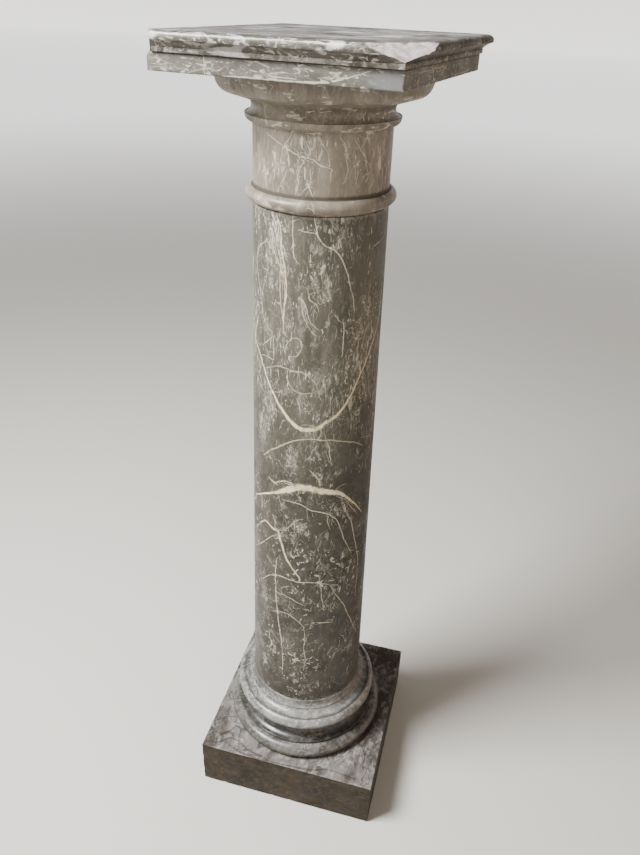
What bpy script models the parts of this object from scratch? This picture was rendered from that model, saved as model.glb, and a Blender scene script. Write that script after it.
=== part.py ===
"""Marble pedestal column in the doric manner.

A low square plinth carries a turned base, a plain tapering shaft, a turned capital, a square
abacus and a moulded top plate. The stones rest on each other with hairline joints.
The origin is the centre of the plinth's underside, +Z is up, and the plinth's sides run
along X and Y. All sizes are in metres.
"""

import math

import bmesh
import bpy

# Joints between the stones
JOINT_GAP = 0.0003

# Plinth: floor slab, cut a little deeper than wide
PLINTH_HEIGHT = 0.0857
PLINTH_MARGIN = 0.0141          # plinth beyond the lower roll of the base, left and right
PLINTH_EXTRA_DEPTH = 0.0060
PLINTH_WEAR = 0.0012            # worn arrises

# The column was set a little off the plinth's centre
COLUMN_OFFSET_X = -0.0049
COLUMN_OFFSET_Y = -0.0024

# Base, from its top down: foot band, ledge, upper roll, hollow, lower roll
BASE_HEIGHT = 0.0950
FOOT_LEDGE = 0.0010             # top of the base beyond the shaft's foot
FOOT_BAND_HEIGHT = 0.0140
FOOT_BAND_FLARE = 0.0034
LEDGE_DROP = 0.0068
LEDGE_OUT = 0.0128              # ledge beyond the foot band
ROLL_STEP = 0.0012              # sharp step between the ledge and the upper roll
UPPER_ROLL = 0.0100             # radius of the upper roll's section
UPPER_ROLL_OUT = 0.0262         # upper roll beyond the shaft's foot
UPPER_FILLET = 0.0026           # plain band under the upper roll
UPPER_FILLET_OUT = 0.0178
THROAT_OUT = 0.0108             # narrowest line of the hollow beyond the shaft's foot
THROAT_SHARE = 0.34             # part of the hollow's height above that line
LOWER_FILLET = 0.0045           # plain band over the lower roll
LOWER_FILLET_OUT = 0.0260
LOWER_ROLL = 0.0120             # radius of the lower roll's section
LOWER_ROLL_OUT = 0.0392         # lower roll beyond the shaft's foot

# Shaft: a plain tapering drum
SHAFT_HEIGHT = 0.7517
SHAFT_FOOT_RADIUS = 0.0862
SHAFT_HEAD_RADIUS = 0.0775

# Capital, from its top down: echinus, hollow, collar, neck, astragal
CAPITAL_HEIGHT = 0.1307
ECHINUS_OUT = 0.0388            # echinus beyond the neck
ECHINUS_EDGE = 0.0020           # upright edge under the abacus
ECHINUS_ROUND_WIDTH = 0.0135
ECHINUS_ROUND_HEIGHT = 0.0180
ECHINUS_SLOPE = 0.0037          # rise of the nearly level underside
FLARE_OUT = 0.0132              # upper half of the hollow
FLARE_HEIGHT = 0.0083
HOLLOW_OUT = 0.0009             # narrowest line of the hollow beyond the neck
HOLLOW_DROP = 0.0088            # lower half of the hollow
COLLAR_OUT = 0.0080             # collar beyond the neck
COLLAR_HEIGHT = 0.0069
COLLAR_COVE = 0.0030            # small cove between collar and neck
NECK_TAPER = 0.0010
ASTRAGAL_ROLL = 0.0077          # radius of the ring's section
ASTRAGAL_FOOT = 0.0013          # plain edge under the ring

# Abacus: plain square slab, turned a little against the plinth
ABACUS_HEIGHT = 0.0167
ABACUS_MARGIN = 0.0137          # abacus beyond the echinus, each side
ABACUS_WEAR = 0.0015            # worn arrises
ABACUS_TURN = math.radians(-10.1)

# Top plate: moulded on three sides and sawn plain on the left
TOP_FILLET_OUT = 0.0036         # lower band beyond the abacus
TOP_FILLET_HEIGHT = 0.0045
TOP_FLARE_HEIGHT = 0.0060
TOP_FLARE_BEND = 1.25           # 1 is a straight flare, more is hollower
TOP_NOSE_OUT = 0.0100           # nose beyond the abacus
TOP_NOSE_WIDTH = 0.0050
TOP_NOSE_HEIGHT = 0.0058        # from the nose's widest line to the top
TOP_NOSE_DROP = 0.0024          # from the nose's widest line to the flare
TOP_SAWN_SETBACK = 0.0090       # sawn side behind the side of the abacus
TOP_TURN = math.radians(-10.6)

# The near corner of the top plate is broken off
BREAK_ALONG_FRONT = 0.0460
BREAK_ALONG_SIDE = 0.0800
BREAK_DEPTH = 0.0160
BREAK_LIP = 0.0005              # crisp edge where the break meets the top
BREAK_RIPPLE = 0.0005
BREAK_WAVES = 10                # how closely the ripples follow each other
BREAK_OVERRUN = 0.25            # share of the break by which the cutter runs past the stone
BREAK_CLEARANCE = 0.0050        # the cutter stands this far above the stone

# Facets
TURNED_STEPS = 48
ROLL_STEPS = 8
CURVE_STEPS = 5
BREAK_STEPS = 7
SHARP_START = 18                # degrees left off where two curves meet in a crisp line
TUCK = 6                        # degrees left off where a round turns under

# Sizes that follow
FOOT_TOP_RADIUS = SHAFT_FOOT_RADIUS + FOOT_LEDGE
UPPER_ROLL_RADIUS = SHAFT_FOOT_RADIUS + UPPER_ROLL_OUT
LOWER_ROLL_RADIUS = SHAFT_FOOT_RADIUS + LOWER_ROLL_OUT
PLINTH_WIDTH = 2 * (LOWER_ROLL_RADIUS + PLINTH_MARGIN)
PLINTH_DEPTH = PLINTH_WIDTH + PLINTH_EXTRA_DEPTH
NECK_RADIUS = SHAFT_HEAD_RADIUS - NECK_TAPER
ECHINUS_RADIUS = NECK_RADIUS + ECHINUS_OUT
ABACUS_SIDE = 2 * (ECHINUS_RADIUS + ABACUS_MARGIN)
TOP_HEIGHT = TOP_FILLET_HEIGHT + TOP_FLARE_HEIGHT + TOP_NOSE_DROP + TOP_NOSE_HEIGHT

BASE_FOOT = PLINTH_HEIGHT + JOINT_GAP
SHAFT_FOOT = BASE_FOOT + BASE_HEIGHT + JOINT_GAP
CAPITAL_FOOT = SHAFT_FOOT + SHAFT_HEIGHT + JOINT_GAP
ABACUS_FOOT = CAPITAL_FOOT + CAPITAL_HEIGHT + JOINT_GAP
TOP_FOOT = ABACUS_FOOT + ABACUS_HEIGHT + JOINT_GAP


def clear_scene():
    for obj in list(bpy.data.objects):
        bpy.data.objects.remove(obj, do_unlink=True)


def new_collection(name):
    made = bpy.data.collections.new(name)
    bpy.context.scene.collection.children.link(made)
    return made


def stone(name, colour, roughness):
    material = bpy.data.materials.new(name)
    material.use_nodes = True
    shader = material.node_tree.nodes["Principled BSDF"]
    shader.inputs["Base Color"].default_value = (*colour, 1.0)
    shader.inputs["Roughness"].default_value = roughness
    shader.inputs["Metallic"].default_value = 0.0
    return material


def arc(centre, size, start, end, steps):
    """Points (out, up) along part of an ellipse, from one angle in degrees to another."""
    points = []
    for step in range(steps + 1):
        angle = math.radians(start + (end - start) * step / steps)
        points.append((centre[0] + size[0] * math.cos(angle), centre[1] + size[1] * math.sin(angle)))
    return points


def turned(name, profile, foot, material, home):
    """A lathe-turned stone. The profile starts on the axis, runs down the outside and ends on the axis."""
    mesh = bpy.data.meshes.new(name)
    edges = [(index, index + 1) for index in range(len(profile) - 1)]
    mesh.from_pydata([(radius, 0.0, height) for radius, height in profile], edges, [])
    mesh.materials.append(material)
    obj = bpy.data.objects.new(name, mesh)
    home.objects.link(obj)
    obj.location = (COLUMN_OFFSET_X, COLUMN_OFFSET_Y, foot)
    turning = obj.modifiers.new("Turning", "SCREW")
    turning.axis = "Z"
    turning.angle = 2 * math.pi
    turning.steps = TURNED_STEPS
    turning.render_steps = TURNED_STEPS
    turning.use_merge_vertices = True
    turning.merge_threshold = 0.00001
    turning.use_smooth_shade = True
    return obj


def slab(name, size, wear, location, turn, material, home):
    """A slab standing on its location, with slightly worn arrises."""
    bm = bmesh.new()
    bmesh.ops.create_cube(bm, size=1.0)
    bmesh.ops.translate(bm, verts=bm.verts, vec=(0.0, 0.0, 0.5))
    bmesh.ops.scale(bm, verts=bm.verts, vec=size)
    mesh = bpy.data.meshes.new(name)
    bm.to_mesh(mesh)
    bm.free()
    mesh.materials.append(material)
    obj = bpy.data.objects.new(name, mesh)
    home.objects.link(obj)
    obj.location = location
    obj.rotation_euler = (0.0, 0.0, turn)
    worn = obj.modifiers.new("Worn arrises", "BEVEL")
    worn.width = wear
    worn.segments = 2
    return obj


def base_profile():
    """Heights above the base's underside, from the top down."""
    band_foot = BASE_HEIGHT - FOOT_BAND_HEIGHT
    band_radius = FOOT_TOP_RADIUS + FOOT_BAND_FLARE
    ledge_radius = band_radius + LEDGE_OUT
    ledge_foot = band_foot - LEDGE_DROP
    roll_radius = UPPER_ROLL_RADIUS - UPPER_ROLL
    roll_level = ledge_foot - ROLL_STEP - UPPER_ROLL
    fillet_radius = SHAFT_FOOT_RADIUS + UPPER_FILLET_OUT
    hollow_top = roll_level - UPPER_ROLL - UPPER_FILLET
    throat_radius = SHAFT_FOOT_RADIUS + THROAT_OUT
    lower_fillet_radius = SHAFT_FOOT_RADIUS + LOWER_FILLET_OUT
    lower_radius = LOWER_ROLL_RADIUS - LOWER_ROLL
    hollow_foot = 2 * LOWER_ROLL + LOWER_FILLET
    throat_level = hollow_top - (hollow_top - hollow_foot) * THROAT_SHARE

    profile = [(0.0, BASE_HEIGHT)]
    top_edge = BASE_HEIGHT - FOOT_LEDGE
    profile += arc((SHAFT_FOOT_RADIUS, top_edge), (FOOT_LEDGE, FOOT_LEDGE), 90, 0, 2)
    band_size = (FOOT_BAND_FLARE, top_edge - band_foot)
    profile += arc((band_radius, top_edge), band_size, 180 + SHARP_START, 270 - TUCK, 2)
    profile += arc((ledge_radius, band_foot), (LEDGE_OUT, LEDGE_DROP), 180 + SHARP_START, 270, 3)
    profile += arc((roll_radius, roll_level), (UPPER_ROLL, UPPER_ROLL), 90 - TUCK, TUCK - 90, ROLL_STEPS)
    profile.append((fillet_radius, roll_level - UPPER_ROLL))
    upper_curve = (fillet_radius - throat_radius, hollow_top - throat_level)
    profile += arc((fillet_radius, throat_level), upper_curve, 90, 180, 3)
    lower_curve = (lower_fillet_radius - throat_radius, throat_level - hollow_foot)
    profile += arc((lower_fillet_radius, throat_level), lower_curve, 180 + SHARP_START, 270, 4)
    profile.append((lower_fillet_radius, 2 * LOWER_ROLL))
    profile += arc((lower_radius, LOWER_ROLL), (LOWER_ROLL, LOWER_ROLL), 90, -90, ROLL_STEPS)
    profile.append((0.0, 0.0))
    return profile


def shaft_profile():
    """Heights above the shaft's foot, from the top down."""
    return [(0.0, SHAFT_HEIGHT), (SHAFT_HEAD_RADIUS, SHAFT_HEIGHT), (SHAFT_FOOT_RADIUS, 0.0), (0.0, 0.0)]


def capital_profile():
    """Heights above the capital's underside, from the top down."""
    round_level = CAPITAL_HEIGHT - ECHINUS_EDGE
    round_radius = ECHINUS_RADIUS - ECHINUS_ROUND_WIDTH
    flare_level = round_level - ECHINUS_ROUND_HEIGHT - ECHINUS_SLOPE
    throat_level = flare_level - FLARE_HEIGHT
    throat_radius = NECK_RADIUS + HOLLOW_OUT
    collar_radius = NECK_RADIUS + COLLAR_OUT
    collar_level = throat_level - HOLLOW_DROP
    cove_top = collar_level - COLLAR_HEIGHT
    cove_foot = cove_top - COLLAR_COVE
    ring_level = ASTRAGAL_FOOT + ASTRAGAL_ROLL

    profile = [(0.0, CAPITAL_HEIGHT), (ECHINUS_RADIUS, CAPITAL_HEIGHT)]
    round_size = (ECHINUS_ROUND_WIDTH, ECHINUS_ROUND_HEIGHT)
    profile += arc((round_radius, round_level), round_size, 0, TUCK - 90, 6)
    flare_size = (FLARE_OUT, FLARE_HEIGHT)
    profile += arc((throat_radius + FLARE_OUT, throat_level), flare_size, 90 + TUCK, 180, CURVE_STEPS)
    hollow_size = (collar_radius - throat_radius, HOLLOW_DROP)
    profile += arc((collar_radius, throat_level), hollow_size, 180 + SHARP_START, 270 - TUCK, 4)
    collar_size = (COLLAR_OUT - COLLAR_COVE, COLLAR_HEIGHT)
    profile += arc((NECK_RADIUS + COLLAR_COVE, collar_level), collar_size, 0, TUCK - 90, 4)
    cove_size = (COLLAR_COVE, COLLAR_COVE)
    profile += arc((NECK_RADIUS + COLLAR_COVE, cove_foot), cove_size, 90 + TUCK, 180, 3)
    profile += arc((SHAFT_HEAD_RADIUS, ring_level), (ASTRAGAL_ROLL, ASTRAGAL_ROLL), 90, -90, ROLL_STEPS)
    profile += [(SHAFT_HEAD_RADIUS, 0.0), (0.0, 0.0)]
    return profile


def top_edge_profile():
    """Moulded edge of the top plate: (out beyond the abacus, up from the underside), bottom up."""
    nose_radius = TOP_NOSE_OUT - TOP_NOSE_WIDTH
    nose_level = TOP_HEIGHT - TOP_NOSE_HEIGHT
    nose_start = -math.degrees(math.asin(TOP_NOSE_DROP / TOP_NOSE_HEIGHT))
    nose = arc((nose_radius, nose_level), (TOP_NOSE_WIDTH, TOP_NOSE_HEIGHT), nose_start, 90, CURVE_STEPS)
    flare_out = nose[0][0] - TOP_FILLET_OUT
    profile = [(TOP_FILLET_OUT, 0.0)]
    for step in range(CURVE_STEPS):
        share = step / CURVE_STEPS
        out = TOP_FILLET_OUT + flare_out * share ** TOP_FLARE_BEND
        profile.append((out, TOP_FILLET_HEIGHT + TOP_FLARE_HEIGHT * share))
    return profile + nose


def top_plate(home, material):
    """The moulded plate: its top face is drawn up through the levels of the moulded edge."""
    half = ABACUS_SIDE / 2
    sawn = -half + TOP_SAWN_SETBACK

    def place(verts, level):
        out, up = level
        for vert in verts:
            vert.co.x = sawn if vert.co.x < 0 else half + out
            vert.co.y = math.copysign(half + out, vert.co.y)
            vert.co.z = up

    levels = top_edge_profile()
    bm = bmesh.new()
    bmesh.ops.create_cube(bm, size=1.0)
    place([vert for vert in bm.verts if vert.co.z < 0], levels[0])
    top_face = max(bm.faces, key=lambda face: face.calc_center_median().z)
    place(top_face.verts, levels[1])
    for level in levels[2:]:
        grown = bmesh.ops.extrude_face_region(bm, geom=[top_face])["geom"]
        bmesh.ops.delete(bm, geom=[top_face], context="FACES_ONLY")
        top_face = next(item for item in grown if isinstance(item, bmesh.types.BMFace))
        place(top_face.verts, level)
    bmesh.ops.recalc_face_normals(bm, faces=bm.faces)
    mesh = bpy.data.meshes.new("top_slab")
    bm.to_mesh(mesh)
    bm.free()
    mesh.materials.append(material)
    obj = bpy.data.objects.new("top_slab", mesh)
    home.objects.link(obj)
    obj.location = (COLUMN_OFFSET_X, COLUMN_OFFSET_Y, TOP_FOOT)
    obj.rotation_euler = (0.0, 0.0, TOP_TURN)
    return obj


def break_cutter(plate, home):
    """What is missing at the near corner: its underside dips towards the corner, like a shell."""
    corner = ABACUS_SIDE / 2 + TOP_NOSE_OUT
    bm = bmesh.new()
    bmesh.ops.create_grid(bm, x_segments=BREAK_STEPS, y_segments=BREAK_STEPS, size=0.5)
    raised = bmesh.ops.extrude_face_region(bm, geom=bm.faces[:])["geom"]
    lid = [item for item in raised if isinstance(item, bmesh.types.BMVert)]
    bmesh.ops.translate(bm, verts=lid, vec=(0.0, 0.0, 1.0))
    for vert in bm.verts:
        across = 0.5 + vert.co.x * (1 + 2 * BREAK_OVERRUN)
        inward = 0.5 + vert.co.y - BREAK_OVERRUN * (0.5 - vert.co.y)
        along_front = BREAK_ALONG_FRONT * (1 - across + (inward - 1) / 2)
        along_side = BREAK_ALONG_SIDE * (across + (inward - 1) / 2)
        ripple = BREAK_RIPPLE * math.sin(BREAK_WAVES * across) * math.cos(BREAK_WAVES * inward)
        floor = TOP_HEIGHT - BREAK_LIP - BREAK_DEPTH * (1 - inward) ** 2 + ripple
        top = TOP_HEIGHT + BREAK_CLEARANCE
        vert.co = (corner - along_front, along_side - corner, top if vert.co.z > 0.5 else floor)
    bmesh.ops.recalc_face_normals(bm, faces=bm.faces)
    mesh = bpy.data.meshes.new("corner_break")
    bm.to_mesh(mesh)
    bm.free()
    cutter = bpy.data.objects.new("corner_break", mesh)
    home.objects.link(cutter)
    cutter.location = plate.location
    cutter.rotation_euler = plate.rotation_euler
    cutter.hide_render = True
    cutter.display_type = "WIRE"
    cut = plate.modifiers.new("Broken corner", "BOOLEAN")
    cut.operation = "DIFFERENCE"
    cut.solver = "EXACT"
    cut.object = cutter


def build_column():
    clear_scene()
    column = new_collection("doric_column")
    cutters = new_collection("cutters")

    plinth_stone = stone("plinth_stone", (0.27, 0.22, 0.20), 0.55)
    base_stone = stone("base_stone", (0.24, 0.24, 0.23), 0.40)
    shaft_stone = stone("shaft_stone", (0.20, 0.19, 0.16), 0.45)
    capital_stone = stone("capital_stone", (0.25, 0.22, 0.18), 0.50)
    abacus_stone = stone("abacus_stone", (0.32, 0.31, 0.29), 0.50)
    top_stone = stone("top_stone", (0.26, 0.24, 0.23), 0.45)

    plinth_size = (PLINTH_WIDTH, PLINTH_DEPTH, PLINTH_HEIGHT)
    slab("plinth", plinth_size, PLINTH_WEAR, (0.0, 0.0, 0.0), 0.0, plinth_stone, column)
    turned("base", base_profile(), BASE_FOOT, base_stone, column)
    turned("shaft", shaft_profile(), SHAFT_FOOT, shaft_stone, column)
    turned("capital", capital_profile(), CAPITAL_FOOT, capital_stone, column)
    abacus_size = (ABACUS_SIDE, ABACUS_SIDE, ABACUS_HEIGHT)
    abacus_place = (COLUMN_OFFSET_X, COLUMN_OFFSET_Y, ABACUS_FOOT)
    slab("abacus", abacus_size, ABACUS_WEAR, abacus_place, ABACUS_TURN, abacus_stone, column)
    plate = top_plate(column, top_stone)
    break_cutter(plate, cutters)


build_column()
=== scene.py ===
# %% [markdown]
# # A marble pedestal column
# The column is six stones stacked with hairline joints: plinth, base, shaft, capital, abacus and top plate.
# Their sizes are fixed, so this lesson dresses each stone: it cuts a finer stone over the plain
# one, wears and chips it, and gives it a marble of its own. We start by loading the plain stones.

# %% Load the plain stones
import math
import random

import bmesh
import bpy
import numpy as np
from mathutils import Matrix, Vector, noise


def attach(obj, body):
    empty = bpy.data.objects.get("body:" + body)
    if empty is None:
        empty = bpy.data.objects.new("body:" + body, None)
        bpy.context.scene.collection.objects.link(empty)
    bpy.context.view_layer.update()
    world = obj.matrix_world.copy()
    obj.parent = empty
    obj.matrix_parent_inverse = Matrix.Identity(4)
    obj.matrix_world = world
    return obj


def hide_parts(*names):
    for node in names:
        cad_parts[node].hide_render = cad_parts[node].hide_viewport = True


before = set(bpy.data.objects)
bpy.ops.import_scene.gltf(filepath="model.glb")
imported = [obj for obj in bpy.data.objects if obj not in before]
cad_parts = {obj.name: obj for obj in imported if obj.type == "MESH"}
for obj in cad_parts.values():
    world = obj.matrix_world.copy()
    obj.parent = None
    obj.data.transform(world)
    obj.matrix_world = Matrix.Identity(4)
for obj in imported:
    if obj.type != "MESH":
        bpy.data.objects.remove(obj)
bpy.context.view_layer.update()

print("plain stones:", sorted(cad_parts))

# %% [markdown]
# ## Camera
# The column was looked at from a standing height, close by and steeply down, so its top is large and
# its foot is small. We could guess such a view, but a lens and a place that were solved from the
# column's own lines keep every moulding where the eye expects it. A camera looks along its own -Z,
# so we tilt it up from there, turn it about the vertical, and add the small roll of a hand-held view.

# %% Place the camera
CAMERA_PLACE = Vector((0.2046, -0.8085, 1.1347))
CAMERA_DOWN = math.radians(31.18)
CAMERA_HEADING = math.radians(14.00)
CAMERA_ROLL = math.radians(2.05)
FOCAL_LENGTH, FILM_WIDTH = 30.35, 36.0

lens = bpy.data.cameras.new("standing_view")
lens.lens = FOCAL_LENGTH
lens.sensor_width = FILM_WIDTH
lens.clip_start = 0.01
camera = bpy.data.objects.new("standing_view", lens)
bpy.context.scene.collection.objects.link(camera)
camera.matrix_world = (
    Matrix.Translation(CAMERA_PLACE)
    @ Matrix.Rotation(CAMERA_HEADING, 4, "Z")
    @ Matrix.Rotation(math.pi / 2 - CAMERA_DOWN, 4, "X")
    @ Matrix.Rotation(CAMERA_ROLL, 4, "Z")
)
bpy.context.scene.camera = camera
print("camera at", tuple(round(value, 3) for value in CAMERA_PLACE))

# %% [markdown]
# ## A small kit for materials
# A material is a stack of numbers and colours, each laid as a node and wired to the next. The helpers
# lay one node each: `maths` works on two numbers, `between` turns a range of numbers into a soft mask,
# `over` lays one colour over another through such a mask, and `written` reads what a mesh has noted.

# %% Lay nodes
def lay(tree, kind, inputs, **settings):
    made = tree.nodes.new("ShaderNode" + kind)
    for key, value in settings.items():
        setattr(made, key, value)
    for key, value in inputs.items():
        if isinstance(value, bpy.types.NodeSocket):
            tree.links.new(value, made.inputs[key])
        else:
            made.inputs[key].default_value = value
    return made


def maths(tree, operation, first, second=0.0, clamp=False):
    return lay(tree, "Math", {0: first, 1: second}, operation=operation, use_clamp=clamp).outputs[0]


def plus(tree, first, second, clamp=False):
    return maths(tree, "ADD", first, second, clamp)


def times(tree, first, second):
    return maths(tree, "MULTIPLY", first, second)


def opposite(tree, mask):
    """1 where the mask is 0, and 0 where it is 1."""
    return maths(tree, "SUBTRACT", 1.0, mask)


def between(tree, value, low, high):
    """0 below low, 1 above high and smooth between."""
    return lay(
        tree, "MapRange", {"Value": value, "From Min": low, "From Max": high}, interpolation_type="SMOOTHSTEP"
    ).outputs["Result"]


# %% Lay colours and read the mesh
SHARE, UNDER, UPPER = 0, 6, 7    # the sockets of a Mix node that is set to colours


def over(tree, share, under, upper, strength=1.0, blend="MIX"):
    """Lays one colour over another where share is 1."""
    if strength < 1.0:
        share = times(tree, share, strength)
    made = lay(tree, "Mix", {}, data_type="RGBA", blend_type=blend)
    for key, value in ((SHARE, share), (UNDER, under), (UPPER, upper)):
        if isinstance(value, bpy.types.NodeSocket):
            tree.links.new(value, made.inputs[key])
        else:
            made.inputs[key].default_value = (*value, 1.0)
    return made.outputs[2]


def written(tree, name):
    return lay(tree, "Attribute", {}, attribute_name=name).outputs["Fac"]


def height_in(tree, place):
    return lay(tree, "SeparateXYZ", {"Vector": place}).outputs["Z"]


# %% [markdown]
# ## Floor and light
# The stones stand on a plain pale floor, so wide that its turned-up rim closes the view like studio
# paper. A white floor would throw so much light back up that the shade under the rolls would vanish, so
# the floor is grey near the stones and glows softly only from a metre outwards, less towards its rim.

# %% Lay the floor
FLOOR_HALF, RIM_WIDTH, RIM_HEIGHT = 24.0, 1.0, 12.0
FLOOR_SINKS = 0.0006
WHITE = (1.0, 1.0, 1.0, 1.0)


def glowing_paint():
    paint = bpy.data.materials.new("pale_floor")
    paint.use_nodes = True
    tree = paint.node_tree
    shader = tree.nodes["Principled BSDF"]
    shader.inputs["Base Color"].default_value = (0.64, 0.61, 0.56, 1.0)
    shader.inputs["Roughness"].default_value = 0.9
    shader.inputs["Emission Color"].default_value = WHITE
    place = lay(tree, "TexCoord", {}).outputs["Object"]
    away = lay(tree, "VectorMath", {0: place}, operation="LENGTH").outputs["Value"]
    glow = lay(
        tree, "MapRange", {"Value": away, "From Min": 1.4, "From Max": 8.0, "To Max": 1.5},
        interpolation_type="SMOOTHSTEP",
    ).outputs["Result"]
    fading = {"From Min": 0.0, "From Max": RIM_HEIGHT, "To Min": 0.9, "To Max": 0.15}
    faded = lay(tree, "MapRange", {"Value": height_in(tree, place), **fading}).outputs["Result"]
    tree.links.new(times(tree, glow, faded), shader.inputs["Emission Strength"])
    return paint


def pale_floor():
    bm = bmesh.new()
    bmesh.ops.create_grid(bm, x_segments=12, y_segments=12, size=FLOOR_HALF)
    bmesh.ops.translate(bm, verts=bm.verts, vec=(0.0, 0.0, -FLOOR_SINKS))
    for vert in bm.verts:
        if max(abs(vert.co.x), abs(vert.co.y)) > FLOOR_HALF - RIM_WIDTH:
            vert.co.z = RIM_HEIGHT
    mesh = bpy.data.meshes.new("floor")
    bm.to_mesh(mesh)
    bm.free()
    mesh.materials.append(glowing_paint())
    floor = bpy.data.objects.new("floor", mesh)
    bpy.context.scene.collection.objects.link(floor)
    print("floor:", len(mesh.polygons), "faces")


pale_floor()

# %% [markdown]
# Marble shows its mouldings only when light comes from one side. A broad window-like light hangs high at
# the left, near enough that the foot of the column gets less of it than the head, a weak warm lamp opens
# the front, and a faint warm sky fills what is left.

# %% Hang the lights
WINDOW_POWER, LAMP_POWER, SKY_STRENGTH = 140.0, 5.0, 0.14


def soft_light(name, place, aim, size, power, colour):
    lamp = bpy.data.lights.new(name, "AREA")
    lamp.shape = "RECTANGLE"
    lamp.size, lamp.size_y = size
    lamp.energy = power
    lamp.color = colour
    holder = bpy.data.objects.new(name, lamp)
    bpy.context.scene.collection.objects.link(holder)
    holder.location = place
    holder.rotation_euler = (Vector(aim) - Vector(place)).to_track_quat("-Z", "Y").to_euler()
    holder.visible_camera = False


soft_light("window", (-0.98, -0.69, 2.0), (0.0, 0.0, 0.7), (0.7, 0.8), WINDOW_POWER, (0.97, 0.99, 1.0))
soft_light("lamp", (0.9, -1.3, 1.7), (0.0, 0.0, 0.9), (0.7, 0.7), LAMP_POWER, (1.0, 0.66, 0.38))

sky = bpy.data.worlds.new("pale_sky")
sky.use_nodes = True
sky.node_tree.nodes["Background"].inputs["Color"].default_value = (1.0, 0.93, 0.84, 1.0)
sky.node_tree.nodes["Background"].inputs["Strength"].default_value = SKY_STRENGTH
bpy.context.scene.world = sky

# %% [markdown]
# ## Outlines for the lathe
# A turned stone is one outline swept about an axis. We draw the outline from the top down in pairs of
# (out from the axis, up from the floor), with every hollow and roll a part of an ellipse. Drawing it in
# curves rather than single points lets us cut it as finely as the light needs: eight facets a roll do for
# the plain stone, but a soft sheen wants three times as many.

# %% Draw curves and straight runs
AXIS = Vector((-0.0049, -0.0024, 0.0))


def curve(centre, size, start, end, steps):
    points = []
    for step in range(steps + 1):
        angle = math.radians(start + (end - start) * step / steps)
        points.append((centre[0] + size[0] * math.cos(angle), centre[1] + size[1] * math.sin(angle)))
    return points


def refined(outline, longest):
    """Splits the straight runs of an outline until none is longer than asked."""
    points = [outline[0]]
    for start, end in zip(outline, outline[1:]):
        parts = max(1, math.ceil(math.dist(start, end) / longest))
        for part in range(1, parts + 1):
            share = part / parts
            points.append((start[0] + (end[0] - start[0]) * share, start[1] + (end[1] - start[1]) * share))
    return points


# %% [markdown]
# ## The lathe
# `spin` does what a lathe does: it carries the outline round the axis, and `use_merge` closes the last
# step onto the first. The two ends of the outline lie on the axis, where their copies fall together, so
# `remove_doubles` makes them one pole each and the stone is closed.

# %% Turn an outline into a stone
SAME_PLACE = 0.00002


def turn_stone(outline, steps):
    bm = bmesh.new()
    points = [bm.verts.new((out, 0.0, up)) for out, up in outline]
    runs = [bm.edges.new(pair) for pair in zip(points, points[1:])]
    bmesh.ops.spin(
        bm, geom=points + runs, cent=(0, 0, 0), axis=(0, 0, 1), angle=2 * math.pi, steps=steps, use_merge=True
    )
    bmesh.ops.remove_doubles(bm, verts=bm.verts, dist=SAME_PLACE)
    bmesh.ops.recalc_face_normals(bm, faces=bm.faces)
    bmesh.ops.translate(bm, verts=bm.verts, vec=AXIS)
    return bm


# %% [markdown]
# ## Reading the relief of a stone
# Dirt settles in hollows and hands polish the rolls, and the marbles also paint shade into the hollows,
# under the rolls and on the side away from the window. A marble can only show this if it knows the relief,
# so we write three numbers on each point of the mesh: `hollow` compares a point with the middle of its
# neighbours, `upward` is how far the surface looks up, and `shaded_side` how far it looks to the right,
# away from the window, where the marbles paint a browner shade. A few rounds of averaging spread
# each hollow by a millimetre or two, as real dirt spreads.

# %% Read and write numbers on the points
def read_points(items, key, width, kind=float):
    values = np.empty(len(items) * width, dtype=kind)
    items.foreach_get(key, values)
    return values.reshape(-1, width) if width > 1 else values


def write_points(mesh, name, values):
    mesh.attributes.new(name, "FLOAT", "POINT").data.foreach_set("value", values.astype(np.float32))


# %% Note the relief of a stone
HOLLOW_GAIN, OWN_SHARE = 4.0, 0.4
# the level direction of the side that the marbles paint with shade
SHADED_SIDE_DIRECTION = (0.966, 0.259)      # a level direction, 15 degrees past the right


def note_relief(mesh, rounds=3):
    places = read_points(mesh.vertices, "co", 3)
    normals = read_points(mesh.vertices, "normal", 3)
    ends = read_points(mesh.edges, "vertices", 2, np.int32)
    links = np.bincount(ends.ravel(), minlength=len(places)).astype(float)

    def neighbours(values):
        total = np.bincount(ends[:, 0], values[ends[:, 1]], len(values))
        return (total + np.bincount(ends[:, 1], values[ends[:, 0]], len(values))) / links

    lengths = np.linalg.norm(places[ends[:, 0]] - places[ends[:, 1]], axis=1)
    total = np.bincount(ends[:, 0], lengths, len(places)) + np.bincount(ends[:, 1], lengths, len(places))
    spacing = total / links
    middle = np.stack([neighbours(places[:, i]) for i in range(3)], axis=1)
    hollow = np.clip(((middle - places) * normals).sum(axis=1) / spacing * HOLLOW_GAIN, -1.0, 1.0)
    for _ in range(rounds):
        hollow = OWN_SHARE * hollow + (1.0 - OWN_SHARE) * neighbours(hollow)
    write_points(mesh, "hollow", hollow)
    write_points(mesh, "upward", normals[:, 2])
    # how far each point faces the side that gets a browner painted shade
    write_points(mesh, "shaded_side", normals[:, 0] * SHADED_SIDE_DIRECTION[0] + normals[:, 1] * SHADED_SIDE_DIRECTION[1])


# %% [markdown]
# Every stone gets the same finish: its edges stay crisp where they turn sharply, its relief is
# noted, and it stands for its plain stone and rides with it.

# %% Finish a stone
SHARP_EDGE = math.radians(50)


def finish_stone(name, bm, node):
    mesh = bpy.data.meshes.new(name)
    bm.to_mesh(mesh)
    bm.free()
    mesh.shade_smooth()
    mesh.set_sharp_from_angle(angle=SHARP_EDGE)
    note_relief(mesh)
    stone = bpy.data.objects.new(name, mesh)
    bpy.context.scene.collection.objects.link(stone)
    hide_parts(node)
    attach(stone, "root")
    print(name, "has", len(mesh.polygons), "faces")
    return stone


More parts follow.
